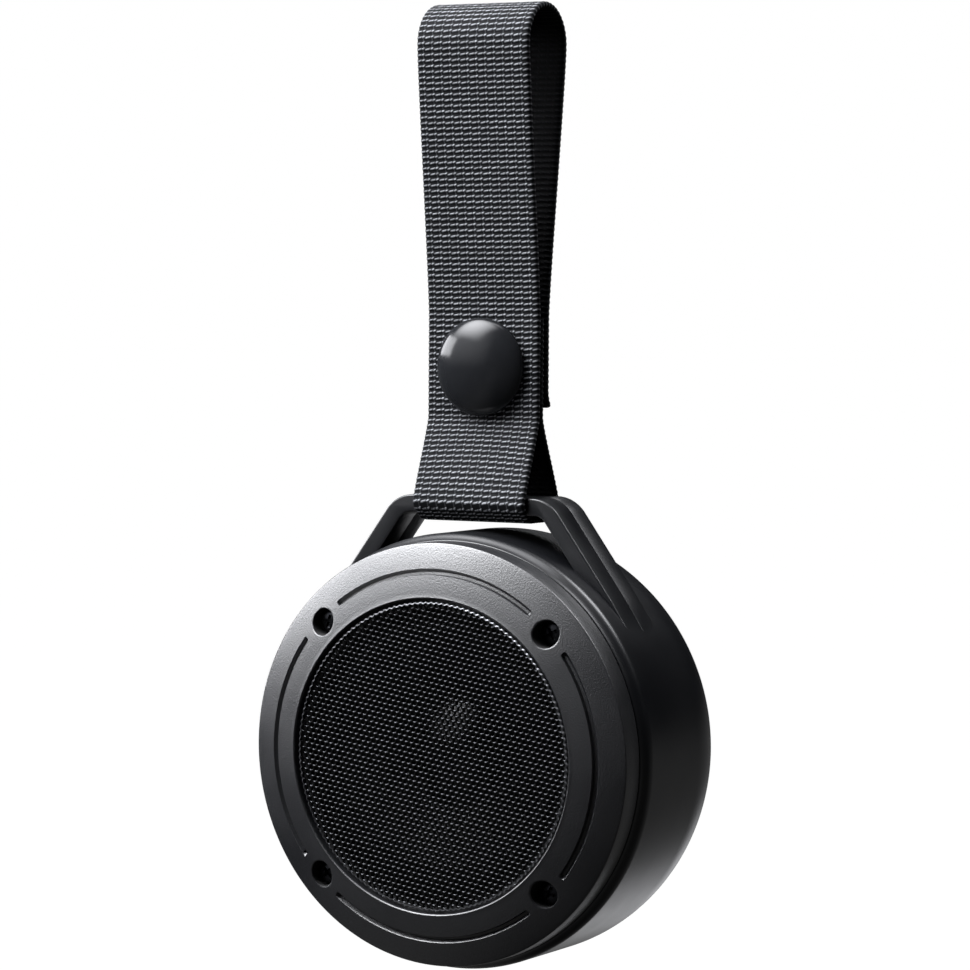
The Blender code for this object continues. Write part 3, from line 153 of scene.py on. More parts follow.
def peg(radius, low, high):  # the (radius, y) outline of a plain round peg
    return [(0, low), (radius, low), (radius, high), (0, high)]


def bridge(bm, low, high):  # faces between two rings, or a ring and a point
    for i in range(max(len(low), len(high))):
        corners = [low[i % len(low)], low[(i + 1) % len(low)], high[(i + 1) % len(high)], high[i % len(high)]]
        bm.faces.new(list(dict.fromkeys(corners)))


def addTurned(bm, profile, sides, at=(0, 0)):  # turns (radius, y) points about an axis along Y
    rings = []
    for radius, y in profile:
        turns = [math.tau * i / sides for i in range(sides if radius > 0 else 1)]
        rings.append([bm.verts.new((at[0] + radius * math.sin(t), y, at[1] + radius * math.cos(t)))
                      for t in turns])
    for low, high in zip(rings, rings[1:]):
        bridge(bm, low, high)
    if profile[0][0] > 0 and profile[-1][0] > 0:
        bridge(bm, rings[-1], rings[0])


def addStack(bm, levels):  # joins equal (x, z) outlines, each at its own y, with flat ends
    rings = [[bm.verts.new((x, y, z)) for x, z in outline] for outline, y in levels]
    for low, high in zip(rings, rings[1:]):
        bridge(bm, low, high)
    bm.faces.new(rings[0])
    bm.faces.new(rings[-1])


def meshObject(name, bm):
    bmesh.ops.recalc_face_normals(bm, faces=bm.faces)
    mesh = bpy.data.meshes.new(name)
    bm.to_mesh(mesh)
    bm.free()
    mesh.transform(toRow)
    return addObject(name, mesh)


def turnedObject(name, profile, sides, at=(0, 0)):
    bm = bmesh.new()
    addTurned(bm, profile, sides, at)
    return meshObject(name, bm)


def stackObject(name, levels):
    bm = bmesh.new()
    addStack(bm, levels)
    return meshObject(name, bm)


def plain(target):  # keeps what the modifiers made as an ordinary mesh
    view = bpy.context.evaluated_depsgraph_get()
    mesh = bpy.data.meshes.new_from_object(target.evaluated_get(view))
    target.modifiers.clear()
    target.data = mesh


def carve(target, tool, operation="DIFFERENCE"):
    cut = target.modifiers.new("carve", "BOOLEAN")
    cut.operation = operation
    cut.object = tool
    cut.material_mode = "TRANSFER"
    plain(target)
    bpy.data.objects.remove(tool)


def finishPiece(target, body, replaced, material, sharp=32):
    if len(target.data.materials) < 2:
        target.data.materials.clear()
        target.data.materials.append(material)
    target.data.shade_smooth()
    target.data.set_sharp_from_angle(angle=math.radians(sharp))
    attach(target, body)
    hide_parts(*replaced)


# ABS, moulded in a spark-eroded tool: satin, its even grain drawn coarse enough to break up highlights here
bezelPlastic = grainy("abs, spark-eroded mould", ("050609", "0b0c10"), (0.37, 0.44), 0.3, 0.05, specular=0.97)
# the same ABS from a finer tool: smoother and a little darker
drumPlastic = grainy("abs, fine satin mould", ("050609", "0a0b0e"), (0.31, 0.38), 0.22, 0.005)
# ABS in dark grey: duller, so that the keys stand off from the drum
keyPlastic = grainy("abs key, satin", ("17181a", "1f2022"), (0.42, 0.5), 0.25, 0.006)
# the bezel's ABS inside its screw wells: plain, matt and darker, a painted shade so that a well looks deep
shadedBorePlastic = newMaterial("abs bore, painted shade", "040404", 0.8)[0]
# brass cap under baked black lacquer: smooth, with a hard clear reflection
capLacquer = grainy("brass, baked black lacquer", ("18191b", "1c1d1f"), (0.14, 0.18), 1.5, 0.0005,
                    specular=0.22)
# steel sheet, painted: a dull dark field that shows little but its holes
sheetPaint = grainy("steel sheet, matt black paint", ("020202", "030303"), (0.7, 0.8), 0.3, 0.003,
                    specular=0.05)
# the edge that a punch leaves round a hole: bare, with a small glint
punchedEdge = grainy("steel sheet, punched edge", ("3a3b3e", "464749"), (0.14, 0.18), 0.3, 0.001, 1.0)
# the sheet's cut edge: bare and dull, a pale wavy line round the grille
trimSteel = grainy("steel sheet, cut edge", ("6e6f72", "929396"), (0.32, 0.42), 0.4, 0.004, 1.0)
# a screw in black zinc: dark metal with soft highlights
screwSteel = grainy("steel screw, black zinc", ("2c2d30", "38393c"), (0.3, 0.38), 0.3, 0.003, 1.0)
# nickel plate: pale metal, a little clouded
platedSteel = grainy("steel, nickel plated", ("a9aaa8", "b9bab8"), (0.26, 0.34), 0.6, 0.002, 1.0)
# moulded silicone: black and matt, with no clear highlight
rubber = grainy("silicone rubber, matt", ("141415", "1c1c1d"), (0.6, 0.7), 0.3, 0.006)
# pressed polypropylene: nearly black behind the grille
coneSheet = grainy("polypropylene cone, pressed", ("0b0b0c", "121213"), (0.5, 0.6), 0.8, 0.01)
# formed film: as dark as the cone, with one soft glint that shows through the holes
capSheet = grainy("dust cap, glossy film", ("101113", "17181a"), (0.24, 0.3), 1.0, 0.004, specular=0.9)

housingForm = {
    "rim": 41.3, "belly": 1.3, "front": 13.0, "wall": 2.4, "lip": 0.25, "lipTurn": -0.44, "sides": 240,
    "shoulder": 2.5, "shoulderPull": (0.5, 1.1), "shoulderPast": 0.3,
    "back": 32.0, "backRound": 23.5, "backTurn": 75,
    "barLow": 45.9, "barHigh": 49.6, "depth": 11.5, "corner": 7.5, "innerCorner": 2.5, "edge": 0.35,
    "leg": 3.6, "lean": 36, "proud": 0.4, "fade": 6.0, "fadeRound": 40, "sink": 0.02, "draft": 0.12,
    "seam": 0.06, "seamHalf": 0.2,
    "dish": ((0, 1.2), (12.6, 1.2), (12.75, 1.15), (12.85, 1.05), (12.9, 0.9), (13.0, 0.15), (13.25, -0.1),
             (13.25, -2), (0, -2)),  # radius and depth
    "pocket": (12.5, 6.9), "pocketCorners": (0.3, 1.7), "pocketDepth": 1.7, "keyHole": 3.75,
    "portHole": (9.2, 4.4, 1.07), "holeReach": (5, 0.8), "above": 2}  # a pocket's cut starts above the back


def drumBack(inset):
    f = housingForm
    turned = math.radians(f["backTurn"])
    centre = (f["rim"] + f["belly"] - f["backRound"], f["back"] - f["backRound"] * math.sin(turned))
    return arcPoints(centre, f["backRound"] - inset, 0, turned, 30)


def drumShell():
    f = housingForm
    widest, lip, front = f["rim"] + f["belly"], f["lip"], -f["front"]
    outside = [(f["rim"] - 2 * lip, front)]
    outside += arcPoints((f["rim"] - lip, front + lip), lip, -math.pi / 2, f["lipTurn"], 6)
    (x, y), (pullX, pullY) = outside[-1], f["shoulderPull"]
    shoulder = front + f["shoulder"]
    outside += curvePoints((x, y), (x + pullX, y + pullY), (widest, shoulder - pullY),
                           (widest, shoulder + f["shoulderPast"]), 16)[1:]
    outside += drumBack(0)
    outside += [(outside[-1][0] * share, f["back"]) for share in (0.95, 0.6, 0)]
    inner, bore, floor = drumBack(f["wall"]), f["rim"] - f["wall"], f["back"] - f["wall"]
    inside = [(bore, front), (bore, shoulder)] + inner[:-1] + [(inner[-1][0], floor), (0, floor)]
    return turnedObject("drumAndHandle", outside[::-1] + inside, f["sides"])


def roundedOutline(corners, steps):  # corners are (x, z, radius)
    outline = []
    for i, (x, z, radius) in enumerate(corners):
        here = Vector((x, z))
        if not radius:
            outline.append((x, z))
            continue
        before = (Vector(corners[i - 1][:2]) - here).normalized()
        after = (Vector(corners[(i + 1) % len(corners)][:2]) - here).normalized()
        half = before.angle(after) / 2
        centre = here + (before + after).normalized() * radius / math.sin(half)
        first = here + before * radius / math.tan(half) - centre
        last = here + after * radius / math.tan(half) - centre
        start = math.atan2(first.y, first.x)
        swing = math.atan2(first.x * last.y - first.y * last.x, first.dot(last))
        outline += arcPoints(centre, radius, start, start + swing, steps)
    return outline


def insetOutline(outline, inset):  # moves a closed outline inwards along its corners
    count = len(outline)
    area = sum(outline[i - 1][0] * outline[i][1] - outline[i][0] * outline[i - 1][1] for i in range(count))
    side = 1 if area > 0 else -1
    moved = []
    for i in range(count):
        here = Vector(outline[i])
        before = (here - Vector(outline[i - 1])).normalized()
        after = (Vector(outline[(i + 1) % count]) - here).normalized()
        normal = Vector((-(before.y + after.y), before.x + after.x)).normalized() * side
        lean = max(0.5, normal.dot(Vector((-after.y, after.x)) * side))
        moved.append(tuple(here + normal * inset / lean))
    return moved


def handleArch():
    f = housingForm
    lean = math.radians(f["lean"])
    along, outward = Vector((math.sin(lean), -math.cos(lean))), Vector((math.cos(lean), math.sin(lean)))
    widest = f["rim"] + f["belly"]
    outer = widest + f["proud"]
    deep, buried, skin = outer - f["leg"], widest - f["wall"] / 3, widest - f["sink"]
    fade = outward * outer - along * f["fade"]  # where the leg bends in to meet the drum
    footTurn = math.atan2(fade.y, fade.x) - math.acos(skin / fade.length)
    foot = Vector((math.cos(footTurn), math.sin(footTurn))) * skin
    heel = outward * deep - along * math.sqrt(buried**2 - deep**2)
    half = [((outer - f["barHigh"] * outward.y) / outward.x, f["barHigh"], f["corner"]),
            (fade.x, fade.y, f["fadeRound"]), (foot.x, foot.y, 0), (heel.x, heel.y, 0),
            ((deep - f["barLow"] * outward.y) / outward.x, f["barLow"], f["innerCorner"])]
    outline = roundedOutline(half + [(-x, z, r) for x, z, r in reversed(half)], 16)
    reach, edge = f["depth"] / 2, f["edge"]
    turns = [math.pi / 2 * (1 - i / 6) for i in range(7)]
    stations = [(-reach + edge * (1 - math.sin(t)), edge * (1 - math.cos(t)) + f["draft"]) for t in turns]
    stations += [(-f["seamHalf"], 0.0), (-f["seamHalf"] / 3, f["seam"])]
    stations += [(-y, inset) for y, inset in reversed(stations)]
    return stackObject("handleArch", [(insetOutline(outline, inset), y) for y, inset in stations])


def cutBack(housing):
    f = housingForm
    back, port = f["back"], (0, -coverForm["drop"])
    bm = bmesh.new()
    addTurned(bm, [(radius, back - depth) for radius, depth in f["dish"]], 128)
    hinged, free = (roundedBox(*f["pocket"], corner, port) for corner in f["pocketCorners"])
    half = len(free) // 2
    outline = hinged[:half] + free[half:]  # nearly square corners beside the flap's hinge
    addStack(bm, [(outline, back - f["pocketDepth"]), (outline, back + f["above"])])
    carve(housing, meshObject("rearRecesses", bm))
    bm = bmesh.new()
    low, high = (back - depth for depth in f["holeReach"])
    for place in keyForm["places"].values():
        addTurned(bm, peg(f["keyHole"], low, high), 48, place)
    outline = roundedBox(*f["portHole"], port)
    addStack(bm, [(outline, low), (outline, high)])
    carve(housing, meshObject("rearHoles", bm))


def buildHousing():
    housing, arch = drumShell(), handleArch()
    housing.data.materials.append(drumPlastic)
    arch.data.materials.append(shadedBorePlastic)  # marks the handle's faces until its edges are set
    carve(housing, arch, "UNION")
    cutBack(housing)
    onHandle = [face.material_index for face in housing.data.polygons]
    finishPiece(housing, "speaker", ["housing"], drumPlastic)
    bm = bmesh.new()
    bm.from_mesh(housing.data)
    for edge in bm.edges:
        if len({onHandle[face.index] for face in edge.link_faces}) > 1:
            edge.smooth = False  # the handle meets the drum in a fine line
    for face in bm.faces:
        face.material_index = 0
    bm.to_mesh(housing.data)
    bm.free()


keyForm = {"radius": 3.5, "edge": 0.3, "foot": 30.15, "top": 31.5, "crown": 0.35, "sides": 48,
           "places": {"call_key": (0, 7.0), "volume_up_key": (-7.0, 0), "power_key": (0, -7.0),
                      "volume_down_key": (7.0, 0)}}


def buildKeys():
    f = keyForm
    dome = f["radius"] - f["edge"]
    profile = [(0, f["foot"]), (f["radius"], f["foot"])]
    profile += arcPoints((dome, f["top"] - f["crown"] - f["edge"]), f["edge"], 0, math.pi / 2, 5)
    profile += [(dome * (1 - i / 8), f["top"] - f["crown"] * (1 - i / 8)**2) for i in range(1, 9)]
    for name, place in f["places"].items():
        label = "".join(word.title() for word in name.split("_")) + "Cap"
        finishPiece(turnedObject(label, profile, f["sides"], place), name, [name], keyPlastic)


coverForm = {"width": 12.0, "height": 6.4, "thickness": 1.4, "sunk": 0.15, "corner": 1.6, "drop": 18.4,
             "edge": 0.25, "footEdge": 0.15, "plug": (8.0, 3.2, 1.07), "plugDepth": 1.6, "plugRoot": 0.4,
             "tip": (7.6, 2.8, 0.9), "tipDepth": 0.3,
             "nail": (4.0, 0.8, 0.39), "nailDrop": 2.1, "nailDepth": 0.3}


def buildCover():
    f = coverForm
    middle = (0, -f["drop"])
    top = housingForm["back"] - f["sunk"]
    low, edge, foot = top - f["thickness"], f["edge"], f["footEdge"]
    insets = ((low, foot), (low + foot, 0.0), (top - edge, 0.0), (top - edge * 0.3, edge * 0.3), (top, edge))
    levels = []
    for y, inset in insets:
        size = (f["width"] - 2 * inset, f["height"] - 2 * inset, f["corner"] - inset / 2)
        levels.append((roundedBox(*size, middle, 8), y))
    cover = stackObject("portFlap", levels)
    plug, tip = (roundedBox(*f[name], middle, 8) for name in ("plug", "tip"))
    end = low - f["plugDepth"]
    levels = [(tip, end), (plug, end + f["tipDepth"]), (plug, low + f["plugRoot"])]
    carve(cover, stackObject("portPlug", levels), "UNION")
    nail = roundedBox(*f["nail"], (0, -f["drop"] - f["nailDrop"]), 8)  # a fingernail groove
    carve(cover, stackObject("nailGroove", [(nail, top - f["nailDepth"]), (nail, top + 1)]))
    finishPiece(cover, "port_cover", ["port_cover"], rubber)


bezelForm = {
    "opening": 30.45, "edge": 41.05, "rimFront": -21.8, "drop": 3.5, "crown": 0.3, "round": 0.35,
    "ledge": -19.6, "hole": 28.35, "seat": -17.6, "skirt": 41.15, "skirtBack": -13.15,
    "tongue": (38.5, 36.3, -10.35), "sides": 720,
    "rimEdge": ((0.3, -0.12), (0.2, -0.075), (0.1, 0.0), (0.03, 0.1), (0.0, 0.24)),  # inwards and backwards
    "backEdge": ((0.0, -0.2), (0.03, -0.1), (0.1, -0.03), (0.2, 0.0)),
    "groove": 35.55, "grooveHalf": 0.62, "grooveDepth": 0.8, "grooveRamp": 0.55, "grooveSpan": 36.0,
    "screwCircle": 35.0, "well": 2.6, "wellFloor": -16.5, "chamfer": 0.3, "shankHole": 1.35, "post": 3.4,
    "pinhole": (35.5, -125.7, 0.45), "pinholeReach": (-26, -13)}


def faceDepth(at):  # y of the bezel's crowned face at a radius
    f = bezelForm
    inner, outer = Vector((f["opening"], f["rimFront"])), Vector((f["edge"], f["rimFront"] + f["drop"]))
    chord = outer - inner
    radius = (chord.length_squared / 4 + f["crown"]**2) / (2 * f["crown"])
    centre = (inner + outer) / 2 - Vector((chord.y, -chord.x)).normalized() * (radius - f["crown"])
    return centre.y - math.sqrt(radius**2 - (at - centre.x)**2)


def faceSlope(at):
    return (faceDepth(at + 1) - faceDepth(at - 1)) / 2


def grooveSink(at, angle):  # depth of the four arc grooves at a radius and an angle
    f = bezelForm
    near = abs((angle + math.pi / 4) % (math.pi / 2) - math.pi / 4)  # from the middle of its groove
    past = max(0.0, near - math.radians(f["grooveSpan"])) * f["groove"]
    out = math.hypot(at - f["groove"], past) / f["grooveHalf"]
    return f["grooveDepth"] * min(1.0, max(0.0, (1 - out) / f["grooveRamp"]))


def bezelRing():
    f = bezelForm
    rim, half = f["round"], f["grooveHalf"]
    walls = [0.4, 0.58, 0.72, 0.86, 0.98, 1.04, 1.12, 1.4]  # rows across half a groove, close on its wall
    radii = [f["opening"] + rim + 0.4 * i for i in range(1, 9)]
    radii += [f["groove"] + half * share for share in [-w for w in reversed(walls)] + [0] + walls]
    radii += [f["groove"] + half * walls[-1] + 0.45 * i for i in range(1, 10)]
    rows = arcPoints((f["opening"] + rim, f["rimFront"] + rim), rim, math.pi, 1.44 * math.pi, 7)
    grooved = range(len(rows), len(rows) + len(radii))
    rows += [(r, faceDepth(r)) for r in radii]
    rows += [(f["edge"] - inward, f["rimFront"] + f["drop"] + back) for inward, back in f["rimEdge"]]
    rows += [(f["skirt"] - inward, f["skirtBack"] + back) for inward, back in f["backEdge"]]
    outer, inner, end = f["tongue"]
    rows += [(outer, f["skirtBack"]), (outer, end), (inner, end), (inner, f["seat"]), (f["hole"], f["seat"]),
             (f["hole"], f["ledge"]), (f["opening"], f["ledge"])]
    tilt = math.atan(faceSlope(f["groove"]))
    bm = bmesh.new()
    rings = []
    for i, (r, y) in enumerate(rows):
        ring = []
        for k in range(f["sides"]):
            angle = math.tau * k / f["sides"]
            sink = grooveSink(r, angle) if i in grooved else 0.0
            at = r - sink * math.sin(tilt)
            ring.append(bm.verts.new((at * math.sin(angle), y + sink * math.cos(tilt), at * math.cos(angle))))
        rings.append(ring)
    for low, high in zip(rings, rings[1:] + rings[:1]):
        bridge(bm, low, high)
    return meshObject("frontRing", bm)


def buildBezel():  # gives the places of its screws
    f = bezelForm
    bezel = bezelRing()
    circle, well, floor, end = f["screwCircle"], f["well"], f["wellFloor"], f["tongue"][2]
    turns = [math.pi / 4 + i * math.pi / 2 for i in range(4)]
    places = [(circle * math.sin(t), circle * math.cos(t)) for t in turns]
    bm = bmesh.new()
    for place in places:
        addTurned(bm, peg(f["post"], f["seat"] - 1, end), 48, place)
    carve(bezel, meshObject("screwPosts", bm), "UNION")
    lip, chamfer, shank = faceDepth(circle), f["chamfer"], f["shankHole"]
    profile = [(0, lip - 3), (well + chamfer, lip - 3), (well + chamfer, lip), (well + 0.1, lip + 0.1),
               (well, lip + chamfer), (well, floor), (shank, floor), (shank, end + 4), (0, end + 4)]
    bm = bmesh.new()
    for place in places:
        addTurned(bm, profile, 64, place)
    for vert in bm.verts:
        if vert.co.y < lip + chamfer:  # the chamfer follows the slope of the face
            vert.co.y += faceSlope(circle) * (math.hypot(vert.co.x, vert.co.z) - circle)
    ring, angle, size = f["pinhole"]
    angle = math.radians(angle)
    addTurned(bm, peg(size, *f["pinholeReach"]), 24, (ring * math.sin(angle), ring * math.cos(angle)))
    carve(bezel, meshObject("bezelCuts", bm))
    finishPiece(bezel, "speaker", ["front_bezel"], bezelPlastic)
    # the wells' walls below their lip take the darker bore material: painted shade
    bezel.data.materials.append(shadedBorePlastic)
    for face in bezel.data.polygons:
        at = face.center * 1000
        inWell = min(math.hypot(at.x - x, at.z - axisHeight - z) for x, z in places) < well + 0.03
        if inWell and at.y > lip + 0.5:
            face.material_index = 1
    return places


def newTree(name, inputs):  # a geometry tree with named inputs, given as (name, kind)
    tree = bpy.data.node_groups.new(name, "GeometryNodeTree")
    for label, kind in inputs:
        tree.interface.new_socket(name=label, in_out="INPUT", socket_type="NodeSocket" + kind)
    tree.interface.new_socket(name="Geometry", in_out="OUTPUT", socket_type="NodeSocketGeometry")
    return tree, tree.nodes.new("NodeGroupInput").outputs, tree.nodes.new("NodeGroupOutput").inputs[0]


def runTree(target, tree, values):  # sets the inputs by their identifiers and keeps the result as a mesh
    step = target.modifiers.new(tree.name, "NODES")
    step.node_group = tree
    for item in tree.interface.items_tree:
        if item.in_out == "INPUT" and item.name in values:
            step[item.identifier] = values[item.name]
    plain(target)


sheetForm = {"pitch": 1.19, "hole": 0.4, "round": 0.1, "thickness": 0.5, "radius": 29.6, "slope": -9.2,
             "half": 30, "front": -20.8}


def holeTile():  # one six-sided cell of the sheet, with its hole
    f = sheetForm
    count = 12  # the cell's corners and the middles of its sides
    turns = [math.tau * k / count for k in range(count)]
    cell = [f["pitch"] / 2 / math.cos(math.pi / 6 * (k % 2)) for k in range(count)]
    levels = [(cell, 0.0), ([f["hole"] + f["round"]] * count, 0.0), ([f["hole"]] * count, -f["round"]),
              ([f["hole"]] * count, -f["thickness"])]
    points = [(r * math.cos(t), r * math.sin(t), z) for radii, z in levels for r, t in zip(radii, turns)]
    faces = []
    for start in range(0, 3 * count, count):
        for k in range(count):
            after = (k + 1) % count
            faces.append((start + k, start + after, start + count + after, start + count + k))
    mesh = bpy.data.meshes.new("holeTile")
    mesh.from_pydata(points, [], faces)
    return addObject("holeTile", mesh)


def sheetTree():
    tree, inputs, result = newTree("perforatedSheet", [
        ("Geometry", "Geometry"), ("Tile", "Object"), ("Pitch", "Float"), ("Disc Radius", "Float"),
        ("Half Count", "Int"), ("Material", "Material"), ("Edge Material", "Material")])
    pitch = inputs["Pitch"]
    pairs = addNode(tree, "ShaderNodeMath", [inputs["Half Count"], 2.0], operation="MULTIPLY")
    count = addNode(tree, "ShaderNodeMath", [pairs, 1.0], operation="ADD")
    rowHeight = addNode(tree, "ShaderNodeMath", [pitch, math.sqrt(0.75)], operation="MULTIPLY")
    wide = addNode(tree, "ShaderNodeMath", [pairs, pitch], operation="MULTIPLY")
    high = addNode(tree, "ShaderNodeMath", [pairs, rowHeight], operation="MULTIPLY")
    grid = addNode(tree, "GeometryNodeMeshGrid", {
        "Size X": wide, "Size Y": high, "Vertices X": count, "Vertices Y": count})
    place = addNode(tree, "GeometryNodeInputPosition")
    parts = addNode(tree, "ShaderNodeSeparateXYZ", [place])
    row = addNode(tree, "ShaderNodeMath", [parts.outputs["Y"], rowHeight], operation="DIVIDE")
    whole = addNode(tree, "ShaderNodeMath", [row], operation="ROUND")
    odd = addNode(tree, "ShaderNodeMath", [whole, 2.0], operation="FLOORED_MODULO")
    half = addNode(tree, "ShaderNodeMath", [pitch, 0.5], operation="MULTIPLY")
    aside = addNode(tree, "ShaderNodeMath", [odd, half], operation="MULTIPLY")
    shift = addNode(tree, "ShaderNodeCombineXYZ", {"X": aside})
    staggered = addNode(tree, "GeometryNodeSetPosition", {"Geometry": grid, "Offset": shift})
    size = addNode(tree, "ShaderNodeVectorMath", [place], operation="LENGTH").outputs["Value"]
    outside = addNode(tree, "FunctionNodeCompare", {"A": size, "B": inputs["Disc Radius"]},
                      operation="GREATER_THAN")
    disc = addNode(tree, "GeometryNodeDeleteGeometry", {"Geometry": staggered, "Selection": outside})
    tile = addNode(tree, "GeometryNodeObjectInfo", {"Object": inputs["Tile"]}).outputs["Geometry"]
    tiled = addNode(tree, "GeometryNodeInstanceOnPoints", {"Points": disc, "Instance": tile})
    solid = addNode(tree, "GeometryNodeRealizeInstances", {"Geometry": tiled})
    joined = addNode(tree, "GeometryNodeMergeByDistance", {"Geometry": solid, "Distance": 0.002})
    coated = addNode(tree, "GeometryNodeSetMaterial", {"Geometry": joined, "Material": inputs["Material"]})
    facing = addNode(tree, "ShaderNodeSeparateXYZ", [addNode(tree, "GeometryNodeInputNormal")])
    sloping = addNode(tree, "FunctionNodeCompare", {"A": facing.outputs["Z"], "B": 0.6, "Epsilon": 0.3},
                      operation="EQUAL")  # the rounded edge of a hole
    edged = addNode(tree, "GeometryNodeSetMaterial", {
        "Geometry": coated, "Selection": sloping, "Material": inputs["Edge Material"]})
    tree.links.new(edged.outputs[0], result)
    return tree


def buildGrille():
    f = sheetForm
    tile = holeTile()
    sheet = addObject("grilleSheet", bpy.data.meshes.new("grilleSheet"))
    runTree(sheet, sheetTree(), {
        "Tile": tile, "Pitch": f["pitch"], "Disc Radius": f["radius"], "Half Count": f["half"],
        "Material": sheetPaint, "Edge Material": punchedEdge})
    bpy.data.objects.remove(tile)
    stand = Matrix.Translation((0, f["front"], 0)) @ Matrix.Rotation(math.pi / 2, 4, "X")
    sheet.data.transform(toRow @ stand @ Matrix.Rotation(math.radians(f["slope"]), 4, "Z"))
    finishPiece(sheet, "speaker", ["grille"], sheetPaint, 80)


trimForm = {"radius": 29.65, "bead": 0.15, "scallop": 0.13, "waves": 157, "front": -21.05, "sides": 6,
            "fineness": 1256, "flatten": (1.3, 0.5, 1.0), "tilt": 40}


def buildTrim():  # the sheet's cut edge runs through its holes and is folded to a wavy bead
    f = trimForm
    tree, inputs, result = newTree("wavyBead", [
        ("Geometry", "Geometry"), ("Radius", "Float"), ("Bead", "Float"), ("Scallop", "Float"),
        ("Waves", "Float"), ("Fineness", "Int"), ("Sides", "Int"), ("Flatten", "Vector"), ("Tilt", "Vector"),
        ("Material", "Material")])
    ring = addNode(tree, "GeometryNodeCurvePrimitiveCircle", {
        "Resolution": inputs["Fineness"], "Radius": inputs["Radius"]})
    place = addNode(tree, "GeometryNodeInputPosition")
    parts = addNode(tree, "ShaderNodeSeparateXYZ", [place]).outputs
    around = addNode(tree, "ShaderNodeMath", [parts["Y"], parts["X"]], operation="ARCTAN2")
    turns = addNode(tree, "ShaderNodeMath", [around, inputs["Waves"]], operation="MULTIPLY")
    wave = addNode(tree, "ShaderNodeMath", [turns], operation="SINE")
    rise = addNode(tree, "ShaderNodeMath", [wave, inputs["Scallop"]], operation="MULTIPLY")
    outward = addNode(tree, "ShaderNodeVectorMath", [place], operation="NORMALIZE")
    offset = addNode(tree, "ShaderNodeVectorMath", {0: outward, "Scale": rise}, operation="SCALE")
    wavy = addNode(tree, "GeometryNodeSetPosition", {"Geometry": ring, "Offset": offset})
    section = addNode(tree, "GeometryNodeCurvePrimitiveCircle", {
        "Resolution": inputs["Sides"], "Radius": inputs["Bead"]})
    flat = addNode(tree, "GeometryNodeTransform", {
        "Geometry": section, "Scale": inputs["Flatten"], "Rotation": inputs["Tilt"]})
    tube = addNode(tree, "GeometryNodeCurveToMesh", {"Curve": wavy, "Profile Curve": flat})
    solid = addNode(tree, "GeometryNodeRealizeInstances", {"Geometry": tube})
    coated = addNode(tree, "GeometryNodeSetMaterial", {"Geometry": solid, "Material": inputs["Material"]})
    tree.links.new(coated.outputs[0], result)
    bead = addObject("grilleEdge", bpy.data.meshes.new("grilleEdge"))
    runTree(bead, tree, {
        "Radius": f["radius"], "Bead": f["bead"], "Scallop": f["scallop"], "Waves": float(f["waves"]),
        "Fineness": f["fineness"], "Sides": f["sides"], "Flatten": f["flatten"],
        "Tilt": (0.0, 0.0, math.radians(f["tilt"])), "Material": trimSteel})
    bead.data.transform(toRow @ Matrix.Translation((0, f["front"], 0)) @ Matrix.Rotation(math.pi / 2, 4, "X"))
    finishPiece(bead, "speaker", ["grille"], trimSteel, 80)


screwForm = {"head": 2.3, "height": 1.7, "crown": 0.75, "back": -16.65, "shank": 1.1, "tip": -4.5, "point": 1,
             "recess": (1.3, 0.34, 1.0), "recessRim": 0.3, "recessFloor": 1.4, "recessTaper": 0.9,
             "sides": 48, "seed": 4}


def screwPattern():
    f = screwForm
    front = f["back"] - f["height"]
    turns = [math.pi / 2 * i / 8 for i in range(9)]
    profile = [(f["head"] * math.sin(t), front + f["crown"] * (1 - math.cos(t))) for t in turns]
    profile += [(f["head"], f["back"]), (f["shank"], f["back"]), (f["shank"], f["tip"] - f["point"]),
                (0, f["tip"])]
    screw = turnedObject("screwPattern", profile, f["sides"])
    reach, half, depth = f["recess"]
    cross, floor = [], []
    for i in range(4):
        c, s = math.cos(i * math.pi / 2), math.sin(i * math.pi / 2)
        for outline, arm in ((cross, reach), (floor, half * f["recessFloor"])):
            outline += [(u * c - v * s, u * s + v * c) for u, v in ((half, -half), (arm, -half), (arm, half))]
    floor = [(x * f["recessTaper"], z * f["recessTaper"]) for x, z in floor]
    levels = [(cross, front - 1), (cross, front + f["recessRim"]), (floor, front + depth)]
    carve(screw, stackObject("crossRecess", levels))
    screw.data.transform(Matrix.Translation((0, 0, -axisHeight * 0.001)))  # stands on its own axis
    return screw


def buildScrews(places):
    f = screwForm
    screw = screwPattern()
    tree, inputs, result = newTree("screwsInWells", [
        ("Geometry", "Geometry"), ("Screw", "Object"), ("Seed", "Int"), ("Material", "Material")])
    pattern = addNode(tree, "GeometryNodeObjectInfo", {"Object": inputs["Screw"]}).outputs["Geometry"]
    spin = addNode(tree, "FunctionNodeRandomValue", {
        0: (0.0, 0.0, 0.0), 1: (0.0, math.tau, 0.0), "Seed": inputs["Seed"]}, data_type="FLOAT_VECTOR")
    driven = addNode(tree, "GeometryNodeInstanceOnPoints", {
        "Points": inputs["Geometry"], "Instance": pattern, "Rotation": spin})
    solid = addNode(tree, "GeometryNodeRealizeInstances", {"Geometry": driven})
    coated = addNode(tree, "GeometryNodeSetMaterial", {"Geometry": solid, "Material": inputs["Material"]})
    tree.links.new(coated.outputs[0], result)
    mesh = bpy.data.meshes.new("bezelScrews")
    mesh.from_pydata([toRow @ Vector((x, 0, z)) for x, z in places], [], [])
    screws = addObject("bezelScrews", mesh)
    runTree(screws, tree, {"Screw": screw, "Seed": f["seed"], "Material": screwSteel})
    bpy.data.objects.remove(screw)
    finishPiece(screws, "speaker", [f"bezel_screw_{i}" for i in range(1, 5)], screwSteel)


driverForm = {"coneEdge": (22.5, -16.75), "neck": (8.95, -9.55), "sheet": 0.5, "bulge": 0.5,
              "capRadius": 10.4, "capHeight": 3.0, "capFoot": -11.47, "sides": 120}


